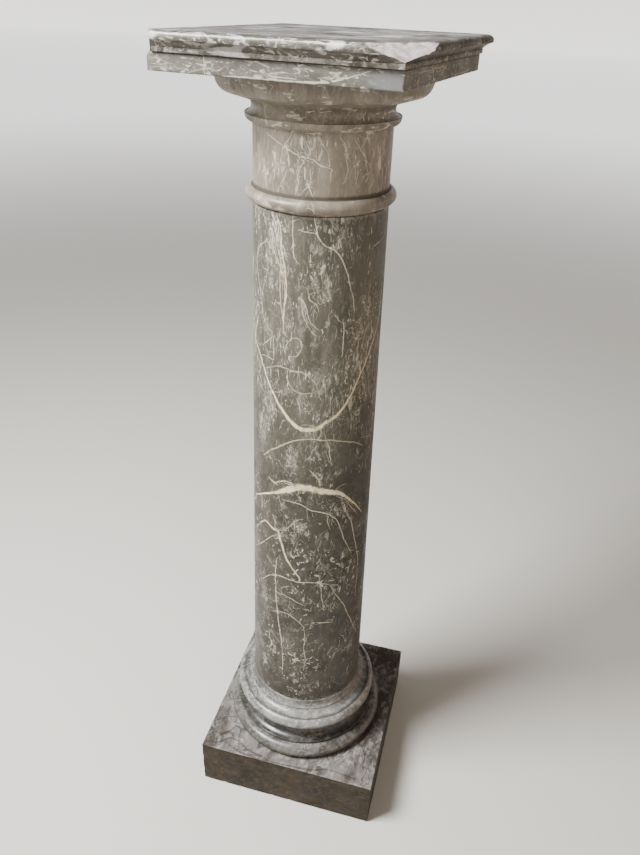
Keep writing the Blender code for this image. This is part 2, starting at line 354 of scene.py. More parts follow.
# %% [markdown]
# ## Wear
# Old polished marble is never as true as the lathe left it. Three marks tell its age: the surface
# waves by a few tenths of a millimetre, crisp edges are nibbled, and here and there a chip is
# gone. We move the points of the mesh for all three, so that the marks catch real light. A chip is a
# shallow bowl with a rough floor, and both kinds only ever take stone away.

# %% Wear and chip a stone
def wave_surface(bm, depth, spacing):
    for vert in bm.verts:
        swell = 0.5 + 0.5 * noise.noise(vert.co / spacing)
        vert.co -= vert.normal * depth * swell


def chip(bm, centre, reach, depth, inward):
    centre = Vector(centre)
    inward = Vector(inward).normalized()
    for vert in bm.verts:
        away = (vert.co - centre).length / reach
        if away < 1.5:
            rough = 1.0 + 0.45 * noise.noise(vert.co * 420.0)
            if away < rough:
                vert.co += inward * depth * (rough - away) * (0.8 + 0.5 * noise.noise(vert.co * 900.0))


def on_drum(angle, out, up):
    """A point on a turned stone: degrees round the axis, then millimetres out and up."""
    turn = math.radians(angle)
    return AXIS + Vector((out * math.cos(turn), out * math.sin(turn), up)) / 1000.0


def to_axis(angle, lift=0.0):
    turn = math.radians(angle)
    return Vector((-math.cos(turn), -math.sin(turn), lift))


# %% [markdown]
# ## Shaft
# The shaft is a plain drum that narrows upwards, 172 mm across at the foot and 155 mm at the head. Such
# a shaft is turned from one block. Its outline is a single sloping line, cut into short runs, because the
# veins that we lay on it later need points close together. The arrises are rounded by a millimetre.

# %% Turn the shaft
SHAFT_FOOT, SHAFT_HEAD = 0.1813, 0.9330
SHAFT_FOOT_RADIUS, SHAFT_HEAD_RADIUS = 0.0862, 0.0775
ARRIS = 0.0008
SHAFT_STEPS, DRUM_STEPS = 264, 256       # the base and the capital are turned in fewer

shaft_outline = [(0.0, SHAFT_HEAD)]
shaft_outline += refined([(0.004, SHAFT_HEAD), (SHAFT_HEAD_RADIUS - ARRIS, SHAFT_HEAD)], 0.012)
shaft_outline += refined(
    [(SHAFT_HEAD_RADIUS, SHAFT_HEAD - ARRIS), (SHAFT_FOOT_RADIUS, SHAFT_FOOT + ARRIS)], 0.0025
)
shaft_outline += refined([(SHAFT_FOOT_RADIUS - ARRIS, SHAFT_FOOT), (0.004, SHAFT_FOOT)], 0.012)
shaft_outline += [(0.0, SHAFT_FOOT)]

shaft_mesh = turn_stone(shaft_outline, SHAFT_STEPS)
wave_surface(shaft_mesh, 0.0003, 0.05)
shaft = finish_stone("shaft_dressed", shaft_mesh, "shaft")

# %% [markdown]
# ## Base
# From the shaft's foot down, the base has a narrow band, a ledge, a roll, a hollow and a wider roll.
# Masons call the two rolls toruses and the hollow a scotia. The lines where the curves meet are drawn
# as small steps, because it is the thin dark line in each step that makes a moulding read as cut stone.

# %% Turn the base
BASE_TOP, BASE_UNDERSIDE = 0.1810, 0.0860

base_outline = [(0.0, BASE_TOP)] + refined([(0.004, BASE_TOP), (0.0862, BASE_TOP)], 0.012)
base_outline += curve((0.0862, 0.1800), (0.0010, 0.0010), 90, 0, 4)[1:]
base_outline += curve((0.0906, 0.1800), (0.0034, 0.0130), 183, 262, 10)[1:]
base_outline += [(0.0905, 0.1668), (0.0905, 0.1662)]
base_outline += curve((0.1034, 0.1668), (0.0128, 0.0068), 196, 272, 12)
base_outline += [(0.1035, 0.1594), (0.1024, 0.1590)]
base_outline += curve((0.1024, 0.1490), (0.0100, 0.0100), 86, -82, 30)
base_outline += curve((0.1040, 0.1386), (0.0006, 0.0004), 90, 0, 2)
base_outline += [(0.1042, 0.1364)]
base_outline += curve((0.1040, 0.1294), (0.0070, 0.0070), 90, 180, 12)
base_outline += curve((0.1122, 0.1294), (0.0152, 0.0149), 181, 268, 18)
base_outline += curve((0.1118, 0.1139), (0.0004, 0.0006), 60, -10, 3)
base_outline += [(0.1122, 0.1108), (0.1112, 0.1098)]
base_outline += curve((0.1134, 0.0980), (0.0120, 0.0118), 98, -88, 40)
base_outline += refined([(0.1134, BASE_UNDERSIDE), (0.004, BASE_UNDERSIDE)], 0.012)
base_outline += [(0.0, BASE_UNDERSIDE)]

base_mesh = turn_stone(refined(base_outline, 0.012), DRUM_STEPS)
wave_surface(base_mesh, 0.0005, 0.03)
base = finish_stone("base_dressed", base_mesh, "base")

# %% [markdown]
# ## Capital
# The capital is the cup-shaped stone that takes the load from the slabs: a ring called the astragal at its
# foot, a plain neck, a small collar, a hollow and the wide round of the echinus. It is turned like the base.

# %% Turn the capital
CAPITAL_TOP, CAPITAL_UNDERSIDE = 1.0640, 0.9333

capital_outline = [(0.0, CAPITAL_TOP)] + refined([(0.004, CAPITAL_TOP), (0.1150, CAPITAL_TOP)], 0.012)
capital_outline += [(0.1153, 1.0637)]
capital_outline += curve((0.1018, 1.0620), (0.0135, 0.0180), 0, -84, 26)
capital_outline += curve((0.0906, 1.0320), (0.0132, 0.0083), 92, 180, 16)
capital_outline += curve((0.0845, 1.0320), (0.0071, 0.0088), 184, 262, 14)
capital_outline += curve((0.0795, 1.0232), (0.0050, 0.0069), 8, -84, 16)
capital_outline += curve((0.0795, 1.0133), (0.0030, 0.0030), 94, 180, 8)
capital_outline += refined([(0.0765, 1.0110), (0.0767, 0.9526)], 0.0024)
capital_outline += [(0.0770, 0.9505)]
capital_outline += curve((0.0775, 0.9423), (0.0077, 0.0077), 84, -84, 26)
capital_outline += [(0.0776, 0.9345), (0.0772, 0.9336)]
capital_outline += refined([(0.0766, CAPITAL_UNDERSIDE), (0.004, CAPITAL_UNDERSIDE)], 0.012)
capital_outline += [(0.0, CAPITAL_UNDERSIDE)]

capital_mesh = turn_stone(capital_outline, DRUM_STEPS)
wave_surface(capital_mesh, 0.0004, 0.03)

# %% Nick the lip of the astragal
ASTRAGAL_LIP = (81.5, 935.6)
NICKS = (
    (-124, 2.4, 0.8), (-116, 3.4, 1.2), (-109, 4.2, 1.4), (-103, 3.0, 1.0),
    (-97, 2.0, 0.7), (-84, 1.8, 0.6), (130, 3.5, 1.2), (20, 2.5, 0.8),
)
for angle, reach, depth in NICKS:
    chip(capital_mesh, on_drum(angle, *ASTRAGAL_LIP), reach / 1000, depth / 1000, to_axis(angle, 0.8))
capital = finish_stone("capital_dressed", capital_mesh, "capital")

# %% [markdown]
# ## Plinth and abacus
# Both are plain slabs sawn from the block. A cube scaled to size has edges sharper than any stone,
# so a bevel rounds them, and a grid of straight cuts gives the mesh enough points to wave, wear and chip.
# Cutting the cube with planes keeps the bevel even, where subdividing would crowd the thin sides.

# %% Saw a slab
def grid_cuts(bm, axis, start, end, spacing):
    cuts = max(1, round((end - start) / spacing))
    direction = Vector((0.0, 0.0, 0.0))
    direction[axis] = 1.0
    for cut in range(1, cuts):
        place = direction * (start + (end - start) * cut / cuts)
        everything = bm.verts[:] + bm.edges[:] + bm.faces[:]
        bmesh.ops.bisect_plane(bm, geom=everything, dist=0.000001, plane_co=place, plane_no=direction)


def saw_slab(size, foot, arris, spacing):
    bm = bmesh.new()
    bmesh.ops.create_cube(bm, size=1.0)
    bmesh.ops.scale(bm, verts=bm.verts, vec=size)
    bmesh.ops.translate(bm, verts=bm.verts, vec=(0.0, 0.0, foot + size[2] / 2))
    bmesh.ops.bevel(
        bm, geom=bm.edges[:], offset=arris, offset_type="OFFSET", segments=4, profile=0.5,
        affect="EDGES", clamp_overlap=True, material=-1,
    )
    grid_cuts(bm, 0, -size[0] / 2, size[0] / 2, spacing)
    grid_cuts(bm, 1, -size[1] / 2, size[1] / 2, spacing)
    grid_cuts(bm, 2, foot, foot + size[2], spacing)
    return bm


# %% [markdown]
# The arrises of a slab that has been moved for a hundred years are nibbled all along. Where a point
# lies near an edge of the slab, it is drawn towards the slab's middle by an amount that a noise
# pattern decides, so most of the edge stays and short stretches of it are gone.

# %% Nibble the arrises
def nibble(bm, low, high, reach, depth, spacing):
    middle = (low + high) / 2
    for vert in bm.verts:
        gaps = [min(vert.co[i] - low[i], high[i] - vert.co[i]) for i in range(3)]
        nearest = sorted(gaps)
        edge_gap = math.hypot(nearest[0], nearest[1])
        if edge_gap > reach:
            continue
        bite = noise.noise(vert.co / spacing) + 0.5 * noise.noise(vert.co / spacing * 2.7)
        amount = depth * max(0.0, bite - 0.12) * (1.0 - edge_gap / reach)
        for i in range(3):
            if gaps[i] < reach:
                vert.co[i] += amount * (1.0 if middle[i] > vert.co[i] else -1.0)


# %% Cut the plinth
PLINTH_SIZE = Vector((0.2790, 0.2850, 0.0857))
SLAB_ARRIS = 0.0012

plinth_mesh = saw_slab(PLINTH_SIZE, 0.0, SLAB_ARRIS, 0.0036)
plinth_low = Vector((-PLINTH_SIZE.x / 2, -PLINTH_SIZE.y / 2, 0.0))
plinth_high = Vector((PLINTH_SIZE.x / 2, PLINTH_SIZE.y / 2, PLINTH_SIZE.z))
nibble(plinth_mesh, plinth_low, plinth_high, 0.0040, 0.0013, 0.016)
plinth = finish_stone("plinth_dressed", plinth_mesh, "plinth")

# %% Cut the abacus
ABACUS_SIDE, ABACUS_HEIGHT, ABACUS_FOOT = 0.2580, 0.0167, 1.0643
ABACUS_TURN = math.radians(-10.1)
ABACUS_LEAN = 0.0034


def set_on_axis(bm, turn):
    bmesh.ops.rotate(bm, verts=bm.verts, cent=(0, 0, 0), matrix=Matrix.Rotation(turn, 3, "Z"))
    bmesh.ops.translate(bm, verts=bm.verts, vec=AXIS)


def out_of_square(place, half, lean):
    """Old slabs are seldom square: the near end of the right side stands a little proud."""
    across = min(1.0, max(0.0, place.x / half / 2 + 0.5))
    near = min(1.0, max(0.0, 0.5 - place.y / half / 2))
    place.x += lean * across * near


abacus_mesh = saw_slab(Vector((ABACUS_SIDE, ABACUS_SIDE, ABACUS_HEIGHT)), ABACUS_FOOT, SLAB_ARRIS, 0.0026)
abacus_low = Vector((-ABACUS_SIDE / 2, -ABACUS_SIDE / 2, ABACUS_FOOT))
abacus_high = Vector((ABACUS_SIDE / 2, ABACUS_SIDE / 2, ABACUS_FOOT + ABACUS_HEIGHT))
nibble(abacus_mesh, abacus_low, abacus_high, 0.0030, 0.0011, 0.008)
chip(abacus_mesh, (-0.1290, -0.1290, 1.0810), 0.0055, 0.0020, (1.0, 0.4, -0.8))
for vert in abacus_mesh.verts:
    out_of_square(vert.co, ABACUS_SIDE / 2, ABACUS_LEAN)
set_on_axis(abacus_mesh, ABACUS_TURN)
abacus = finish_stone("abacus_dressed", abacus_mesh, "abacus")

# %% [markdown]
# ## Top plate
# The top plate has a moulded edge on three sides: a low band, a hollow flare and a rounded nose. Its left
# side is sawn plain. We start from a slab as thin as a leaf and draw its top face up again and again,
# each time a little wider or narrower, which is how one could build it by hand with extrude and scale. On
# the right side the band is dressed flush with the abacus below.

# %% Draw up the moulded plate
TOP_FOOT, TOP_HEIGHT, TOP_TURN = 1.0813, 0.0187, math.radians(-10.6)
SAWN_SIDE = -ABACUS_SIDE / 2 + 0.0090
PLATE_LEAN, NOSE_OUT, CUT_SPACING = 0.0048, 0.0100, 0.0030

top_levels = [(0.0030, 0.0), (0.0036, 0.0006), (0.0036, 0.0042), (0.0030, 0.0046)]
top_levels += [(0.0034 + 0.0052 * (i / 8) ** 1.5, 0.0048 + 0.0056 * i / 8) for i in range(1, 9)]
top_levels += curve((0.0050, 0.0129), (0.0050, 0.0058), -22, 88, 14)


def at_level(verts, level):
    out, up = level
    side_out = (out - 0.0032) * NOSE_OUT / 0.0068 if out < NOSE_OUT else out
    for vert in verts:
        vert.co.x = SAWN_SIDE if vert.co.x < 0 else ABACUS_SIDE / 2 + max(0.0002, side_out)
        vert.co.y = math.copysign(ABACUS_SIDE / 2 + out, vert.co.y)
        vert.co.z = up


top_mesh = bmesh.new()
bmesh.ops.create_cube(top_mesh, size=1.0)
at_level([vert for vert in top_mesh.verts if vert.co.z < 0], top_levels[0])
top_face = max(top_mesh.faces, key=lambda face: face.calc_center_median().z)
at_level(top_face.verts, top_levels[1])
for level in top_levels[2:]:
    grown = bmesh.ops.extrude_face_region(top_mesh, geom=[top_face])["geom"]
    bmesh.ops.delete(top_mesh, geom=[top_face], context="FACES_ONLY")
    top_face = next(item for item in grown if isinstance(item, bmesh.types.BMFace))
    at_level(top_face.verts, level)
bmesh.ops.recalc_face_normals(top_mesh, faces=top_mesh.faces)
grid_cuts(top_mesh, 0, SAWN_SIDE, ABACUS_SIDE / 2 + NOSE_OUT, CUT_SPACING)
grid_cuts(top_mesh, 1, -ABACUS_SIDE / 2 - NOSE_OUT, ABACUS_SIDE / 2 + NOSE_OUT, CUT_SPACING)
print("top plate:", len(top_mesh.faces), "faces before the break")

# %% [markdown]
# ## The broken corner
# The near corner took a knock, and a flake as long as a finger came off. Such a break in marble is a
# slope: level with the top at its inner edge and falling nearly to the joint at the corner, with a rough,
# sugary floor. We model the flake that is missing, with a rippled underside, and take it out
# with an exact Boolean. The flake's faces carry their own material, so the break shows fresh stone.

# %% Model the missing flake
BREAK_FRONT, BREAK_SIDE, BREAK_DEPTH = 0.0460, 0.0800, 0.0184
NOSE_CORNER = ABACUS_SIDE / 2 + NOSE_OUT

flake_mesh = bmesh.new()
bmesh.ops.create_grid(flake_mesh, x_segments=72, y_segments=54, size=0.5)
raised = bmesh.ops.extrude_face_region(flake_mesh, geom=flake_mesh.faces[:])["geom"]
lid = [item for item in raised if isinstance(item, bmesh.types.BMVert)]
bmesh.ops.translate(flake_mesh, verts=lid, vec=(0.0, 0.0, 1.0))
for vert in flake_mesh.verts:
    across = 0.5 + vert.co.x * 1.5
    inward = 0.5 + vert.co.y - 0.25 * (0.5 - vert.co.y)
    ragged = 1.0 + (0.07 * noise.noise(Vector((across * 9, 0.3, 0))) if inward > 0.9 else 0.0)
    along_front = BREAK_FRONT * (1 - across + (inward * ragged - 1) / 2)
    along_side = BREAK_SIDE * (across + (inward * ragged - 1) / 2)
    place = Vector((along_front, along_side, 0.0))
    grain = 0.0009 * noise.noise(place * 120) + 0.0005 * noise.noise(place * 420)
    floor_up = TOP_HEIGHT - 0.0006 - BREAK_DEPTH * (1 - inward) ** 1.15 + grain
    up = TOP_HEIGHT + 0.005 if vert.co.z > 0.5 else min(floor_up, TOP_HEIGHT - 0.0002)
    vert.co = (NOSE_CORNER - along_front, along_side - NOSE_CORNER, up)
bmesh.ops.recalc_face_normals(flake_mesh, faces=flake_mesh.faces)

# %% Take the flake out
def loose_object(name, bm, material):
    mesh = bpy.data.meshes.new(name)
    bm.to_mesh(mesh)
    bm.free()
    mesh.materials.append(material)
    made = bpy.data.objects.new(name, mesh)
    bpy.context.scene.collection.objects.link(made)
    return made


top_marble = bpy.data.materials.new("top_marble")
break_marble = bpy.data.materials.new("break_marble")
whole_plate = loose_object("whole_plate", top_mesh, top_marble)
flake = loose_object("flake", flake_mesh, break_marble)
cut = whole_plate.modifiers.new("Broken corner", "BOOLEAN")
cut.operation = "DIFFERENCE"
cut.solver = "EXACT"
cut.material_mode = "TRANSFER"
cut.object = flake
broken = bpy.data.meshes.new_from_object(whole_plate.evaluated_get(bpy.context.evaluated_depsgraph_get()))
for helper in (whole_plate, flake):
    bpy.data.objects.remove(helper, do_unlink=True)

# %% [markdown]
# The nose took knocks as well: at its left end it is rubbed off on a slant, so the end is upright, two
# small chips are gone beside the far end of its right side, and the edges are nibbled here and there.

# %% Wear the nose and set the plate in place
plate_mesh = bmesh.new()
plate_mesh.from_mesh(broken)
plate_mesh.normal_update()
nose_low = Vector((SAWN_SIDE, -NOSE_CORNER, 0.0))
nose_high = Vector((NOSE_CORNER, NOSE_CORNER, TOP_HEIGHT))
nibble(plate_mesh, nose_low, nose_high, 0.0030, 0.0008, 0.009)
for vert in plate_mesh.verts:
    beyond = abs(vert.co.y) - (ABACUS_SIDE / 2 + 0.0025)
    from_end = (vert.co.x - SAWN_SIDE) / 0.012
    if from_end < 1:
        vert.co.x += (0.75 * max(0.0, beyond) - 0.0015) * (1 - from_end)
chip(plate_mesh, (NOSE_CORNER, 0.1050, 0.0150), 0.0060, 0.0022, (-1.0, 0.0, -0.5))
chip(plate_mesh, (NOSE_CORNER, 0.0880, 0.0150), 0.0050, 0.0018, (-1.0, 0.0, -0.5))
for vert in plate_mesh.verts:
    out_of_square(vert.co, ABACUS_SIDE / 2, PLATE_LEAN)
bmesh.ops.translate(plate_mesh, verts=plate_mesh.verts, vec=(0.0, 0.0, TOP_FOOT))
set_on_axis(plate_mesh, TOP_TURN)
top_plate = finish_stone("top_plate_dressed", plate_mesh, "top_slab")
for material in broken.materials:
    top_plate.data.materials.append(material)
print("materials on the plate:", [material.name for material in top_plate.data.materials])

# %% [markdown]
# ## Laying veins one by one
# A vein is a crack that filled with pale calcite, and the big ones are what one remembers of a stone.
# Noise can invent veins, but not this loop or that seam, so we draw them as routes on the surface. A
# painted image would need a map of the whole stone and would blur up close. Instead, each point of the
# mesh learns how far it lies from the nearest route, with a sign for the side: between two points the
# sign changes exactly on the route, so the line stays sharp however large the faces are.

# %% Smooth a route
VEIN_SEED = 7

noise.seed_set(VEIN_SEED)    # without a seed, noise_vector starts from the clock and the veins shift


def smooth_route(points, spacing=0.002):
    """A curve through all the points, as short straight steps that tremble like a real crack."""
    padded = [points[0] * 2 - points[1]] + list(points) + [points[-1] * 2 - points[-2]]
    route = []
    for before, start, end, after in zip(padded, padded[1:], padded[2:], padded[3:]):
        pieces = max(2, math.ceil((end - start).length / spacing))
        for piece in range(pieces):
            t = piece / pieces
            bend = (2 * before - 5 * start + 4 * end - after) * t ** 2
            bend += (3 * start - before - 3 * end + after) * t ** 3
            place = 0.5 * (2 * start + (end - before) * t + bend)
            coarse, fine = noise.noise_vector(place * 90.0), noise.noise_vector(place * 260.0)
            route.append(place + 0.0009 * coarse + 0.0004 * fine)
    route.append(points[-1])
    return np.array([tuple(point) for point in route])


# %% Measure each point against the routes
NO_ROUTE, MARGIN, BATCH = 9.0, 0.012, 1500000


def write_sheet(stone, sheet, side, near, strength):
    for part, values in (("_side", side), ("_near", near), ("_strength", strength)):
        write_points(stone.data, sheet + part, values)


def lay_veins(stone, sheet, routes, cell=0.0022):
    """Routes are (points, half widths in mm along the route, strength)."""
    mesh = stone.data
    places = read_points(mesh.vertices, "co", 3)
    normals = read_points(mesh.vertices, "normal", 3)
    side, near = np.full(len(places), NO_ROUTE), np.full(len(places), NO_ROUTE)
    strength = np.zeros(len(places))
    for points, widths, opacity in routes:
        run = smooth_route(points)
        inside = (places > run.min(axis=0) - MARGIN) & (places < run.max(axis=0) + MARGIN)
        close = np.flatnonzero(inside.all(axis=1))
        starts, steps = run[:-1], np.diff(run, axis=0)
        for part in np.array_split(close, max(1, len(close) * len(steps) // BATCH)):
            offset = places[part][:, None] - starts[None]
            share = np.clip((offset * steps).sum(axis=2) / (steps * steps).sum(axis=1), 0.0, 1.0)
            gap = np.linalg.norm(offset - share[..., None] * steps, axis=2)
            rows, best = np.arange(len(part)), gap.argmin(axis=1)
            along = (best + share[rows, best]) / len(steps)
            half = np.interp(along, np.linspace(0, 1, len(widths)), widths) / 1000.0
            turn = (np.cross(steps[best], offset[rows, best]) * normals[part]).sum(axis=1)
            reach = (gap[rows, best] - cell) / half
            closer = reach < near[part]
            chosen = part[closer]
            near[chosen] = reach[closer]
            side[chosen] = (np.sign(turn) * gap[rows, best] / half)[closer]
            strength[chosen] = opacity
    write_sheet(stone, sheet, side, near, strength)
    print(sheet, "on", stone.name, "-", len(routes), "routes")


# %% [markdown]
# On a turned stone it is easiest to give a route in degrees round the axis and millimetres up, like
# places on a globe. The radius follows from the height.

# %% Give routes round the drum
NECK_RADIUS = 76.5


def shaft_radius(up):
    share = (up / 1000.0 - SHAFT_FOOT) / (SHAFT_HEAD - SHAFT_FOOT)
    return 1000.0 * (SHAFT_FOOT_RADIUS + (SHAFT_HEAD_RADIUS - SHAFT_FOOT_RADIUS) * share)


def round_shaft(*places):
    return [on_drum(angle, shaft_radius(up), up) for angle, up in places]


def round_neck(*places):
    return [on_drum(angle, NECK_RADIUS, up) for angle, up in places]


# %% [markdown]
# ### The great veins of the shaft
# Three veins rule the front: a loop that hangs like a necklace, an arch under it, and a broad cream seam
# across the middle. A shorter one heads the seam, a knotted one runs down from it, and a strand falls
# from the shaft's head. Each swells and runs out to a hair, so each route has a row of widths.

# %% Draw the loop, the arch and the seam
loop = round_shaft(
    (-137.9, 802), (-143.0, 783), (-143.1, 770), (-135.9, 760), (-127.9, 745), (-120.0, 725), (-114.3, 714),
    (-109.2, 704), (-102.8, 693), (-96.8, 684), (-91.2, 678), (-84.8, 675), (-78.7, 675), (-71.8, 678),
    (-64.9, 685), (-59.7, 690), (-54.3, 696), (-48.9, 704), (-44.2, 714), (-38.4, 728), (-33.3, 742),
    (-27.6, 754), (-22.7, 766), (-17.8, 777), (-14.0, 786), (-9.5, 796), (-7.2, 807), (-5.0, 824),
    (-4.0, 846),
)
arch = round_shaft(
    (-127.0, 618), (-117.0, 632), (-108.7, 641), (-102.4, 648), (-96.5, 653), (-90.0, 658), (-83.7, 661),
    (-77.6, 662), (-71.4, 661), (-65.2, 660), (-58.8, 659), (-51.2, 656), (-41.8, 652), (-33.4, 646),
    (-24.7, 637),
)
seam = round_shaft(
    (-142.0, 540), (-128.7, 554), (-118.1, 563), (-109.4, 570), (-101.8, 577), (-94.8, 583), (-88.1, 587),
    (-80.8, 588), (-73.5, 586), (-66.2, 583), (-58.6, 580), (-50.7, 577), (-44.2, 570), (-36.9, 558),
    (-28.3, 544), (-19.2, 526),
)

# %% Draw the knot and the strand
seam_head = round_shaft(
    (-119.5, 588), (-115.5, 585), (-111.8, 584), (-107.3, 589), (-100.9, 593), (-94.9, 592)
)
knot = round_shaft((-132.5, 502), (-125.3, 511), (-119.3, 510), (-113.9, 506), (-107.8, 505), (-104.9, 491),
                   (-102.0, 479), (-99.2, 467), (-95.4, 456), (-90.2, 445), (-85.7, 436), (-84.6, 429))
strand = round_shaft((-111.9, 929), (-108.8, 920), (-107.7, 910), (-107.2, 898), (-105.6, 885), (-103.6, 872),
                     (-102.5, 859), (-102.8, 844), (-103.6, 830), (-104.5, 816), (-104.8, 798))
great_veins = [
    (strand, (0.7, 1.0, 1.3, 1.2, 0.7), 0.6),
    (loop, (0.7, 0.9, 1.1, 1.5, 2.4, 3.1, 2.1, 1.3, 1.0, 0.8, 0.7, 0.5), 0.9),
    (arch, (0.6, 0.9, 1.0, 0.9, 1.1, 0.8, 0.6), 0.5),
    (seam, (0.8, 1.1, 1.9, 4.4, 5.0, 4.8, 3.6, 1.6, 1.0, 0.6), 1.0),
    (seam_head, (0.8, 1.2, 0.7), 0.6),
    (knot, (0.9, 1.5, 1.8, 1.8, 1.5, 1.2, 1.0), 0.75),
]

# %% [markdown]
# ### The thin veins
# The thin ones branch from the great ones and from each other. Real cracks run straight for a while, then
# step aside, so their points are few and uneven.

# %% Draw the thin veins of the front
thin_places = {
    0.85: [
        [(-64.3, 660), (-61.9, 652), (-60.7, 641), (-59.5, 631), (-58.3, 623)],
        [(-101.6, 562), (-93.6, 563), (-85.9, 561), (-80.3, 556), (-74.7, 552), (-68.2, 550), (-61.6, 547),
         (-54.6, 539), (-49.3, 529), (-45.6, 513), (-41.6, 495), (-36.1, 478), (-31.5, 463)],
        [(-47.3, 566), (-43.6, 554), (-38.3, 534), (-32.4, 513), (-28.6, 491), (-24.3, 468), (-20.3, 444),
         (-19.8, 420), (-20.2, 396), (-20.6, 372)],
        [(-128.7, 402), (-119.0, 418), (-109.7, 426), (-101.6, 428), (-94.1, 427), (-87.0, 426), (-79.2, 427),
         (-70.6, 427), (-62.8, 424), (-54.6, 420), (-45.8, 414)],
        [(-54.6, 420), (-49.9, 403), (-43.8, 386), (-37.0, 367), (-30.5, 343), (-22.9, 316), (-13.1, 288)],
        [(-109.3, 458), (-110.4, 441), (-110.9, 422), (-110.2, 401), (-109.5, 381), (-108.1, 360),
         (-106.8, 341), (-104.2, 316), (-102.3, 293), (-100.9, 266), (-100.7, 242)],
        [(-66.2, 349), (-59.1, 347), (-50.5, 344)],
        [(-79.9, 932), (-79.0, 926), (-77.7, 919), (-76.8, 913), (-73.6, 907), (-69.5, 902), (-63.9, 899),
         (-58.8, 892), (-55.1, 883), (-52.1, 872), (-49.0, 860), (-46.1, 848), (-44.2, 836), (-43.3, 826)],
        [(-53.7, 817), (-52.4, 805), (-52.4, 793), (-52.9, 781), (-53.1, 773)],
    ],
    0.55: [
        [(-151.1, 439), (-130.6, 467), (-120.6, 484), (-112.6, 496), (-106.7, 503)],
        [(-142.3, 484), (-132.5, 502)],
        [(-113.9, 508), (-106.7, 509), (-103.3, 505), (-106.6, 497), (-112.6, 495)],
        [(-108.3, 395), (-100.2, 395), (-92.7, 392), (-85.6, 387), (-78.6, 383)],
        [(-114.5, 352), (-104.5, 359), (-96.6, 360), (-90.3, 356), (-84.1, 348), (-79.0, 339)],
        [(-91.2, 919), (-86.3, 917), (-81.6, 916), (-77.6, 916)],
        [(-119.5, 919), (-117.1, 905), (-114.8, 892), (-110.5, 880), (-105.4, 866)],
        [(-107.5, 880), (-108.3, 862), (-108.1, 841), (-106.0, 823), (-104.9, 814)],
        [(-97.2, 932), (-97.4, 918), (-96.8, 903), (-96.2, 890), (-92.3, 882)],
        [(-128.7, 772), (-121.5, 782), (-115.3, 790)],
        [(-115.3, 790), (-114.7, 779), (-114.6, 759)],
        [(-114.6, 759), (-121.4, 760), (-128.7, 759)],
        [(-124.1, 745), (-112.8, 752), (-103.4, 754), (-95.8, 752), (-89.5, 752), (-84.3, 751), (-79.1, 745),
         (-74.7, 737), (-71.9, 727), (-70.0, 717)],
        [(-99.5, 752), (-100.3, 742), (-97.4, 731), (-91.8, 726), (-84.7, 724), (-77.9, 726), (-72.8, 727)],
        [(-89.2, 845), (-88.1, 832), (-86.3, 820), (-82.8, 811), (-79.3, 803), (-76.0, 800)],
        [(-83.6, 854), (-81.7, 842), (-76.7, 837), (-74.1, 829)],
        [(-26.3, 895), (-19.3, 898), (-10.1, 901)],
        [(-57.0, 520), (-60.0, 536), (-57.5, 549), (-54.0, 561)],
        [(-78.0, 616), (-72.0, 606), (-69.0, 598)],
        [(-66.0, 440), (-64.0, 415), (-62.5, 395), (-60.0, 372)],
        [(-80.0, 340), (-78.0, 318), (-79.0, 296), (-77.0, 272), (-78.5, 250)],
        [(-104.7, 509), (-96.8, 519), (-90.3, 532), (-84.0, 537)],
        [(-115.1, 493), (-110.1, 491), (-104.4, 502)],
        [(-55.8, 580), (-49.0, 587), (-43.8, 588)],
        [(-51.5, 571), (-40.5, 561), (-29.9, 547)],
        [(-42.8, 562), (-33.7, 543), (-24.2, 524)],
        [(-47.1, 559), (-42.1, 542), (-34.2, 525)],
        [(-116.1, 921), (-113.8, 912), (-111.6, 898), (-108.5, 885), (-105.5, 872), (-104.4, 859),
         (-103.3, 840)],
        [(-124.4, 900), (-135.5, 887), (-139.8, 869), (-135.6, 849), (-132.0, 827)],
        [(-130.3, 828), (-128.7, 810), (-122.9, 800), (-116.5, 794)],
        [(-102.6, 777), (-99.9, 787), (-94.5, 794), (-89.2, 793), (-87.4, 784), (-91.5, 773), (-97.8, 770)],
        [(-68.7, 871), (-66.9, 862), (-67.4, 852), (-64.7, 843)],
        [(-89.2, 845), (-85.7, 836), (-83.0, 824), (-79.5, 813), (-74.5, 807)],
        [(-69.8, 744), (-67.0, 736), (-65.8, 722)],
        [(-91.7, 717), (-88.9, 708), (-87.8, 695)],
    ],
}
thin_veins = []
for share, routes in thin_places.items():
    thin_veins += [(round_shaft(*route), (0.45, 0.85, 0.75, 0.45), share) for route in routes]

# %% [markdown]
# ### Veins for the far side
# Nobody drew the back of the column, but it is cut from the same block. A wandering walk stands in: it sets
# off with a heading, turns a little at each step, and stops after a few centimetres. The chance is
# seeded, so the same stone comes out each time. Short curls fill the gaps on all sides.

# %% Let veins wander
chance = random.Random(7)


def wander(angle, up, length, heading, wobble, stride=9.0, far=True):
    """A walk on the shaft; the heading is in degrees, 90 is up. Far walks keep to the back."""
    places = [(angle, up)]
    for _ in range(max(2, round(length / stride))):
        heading += chance.uniform(-wobble, wobble)
        up += stride * math.sin(math.radians(heading))
        angle += math.degrees(stride * math.cos(math.radians(heading)) / shaft_radius(up))
        if not 190 < up < 925 or (far and not 8 < angle < 203):
            break
        places.append((angle, up))
    return round_shaft(*places) if len(places) > 2 else None


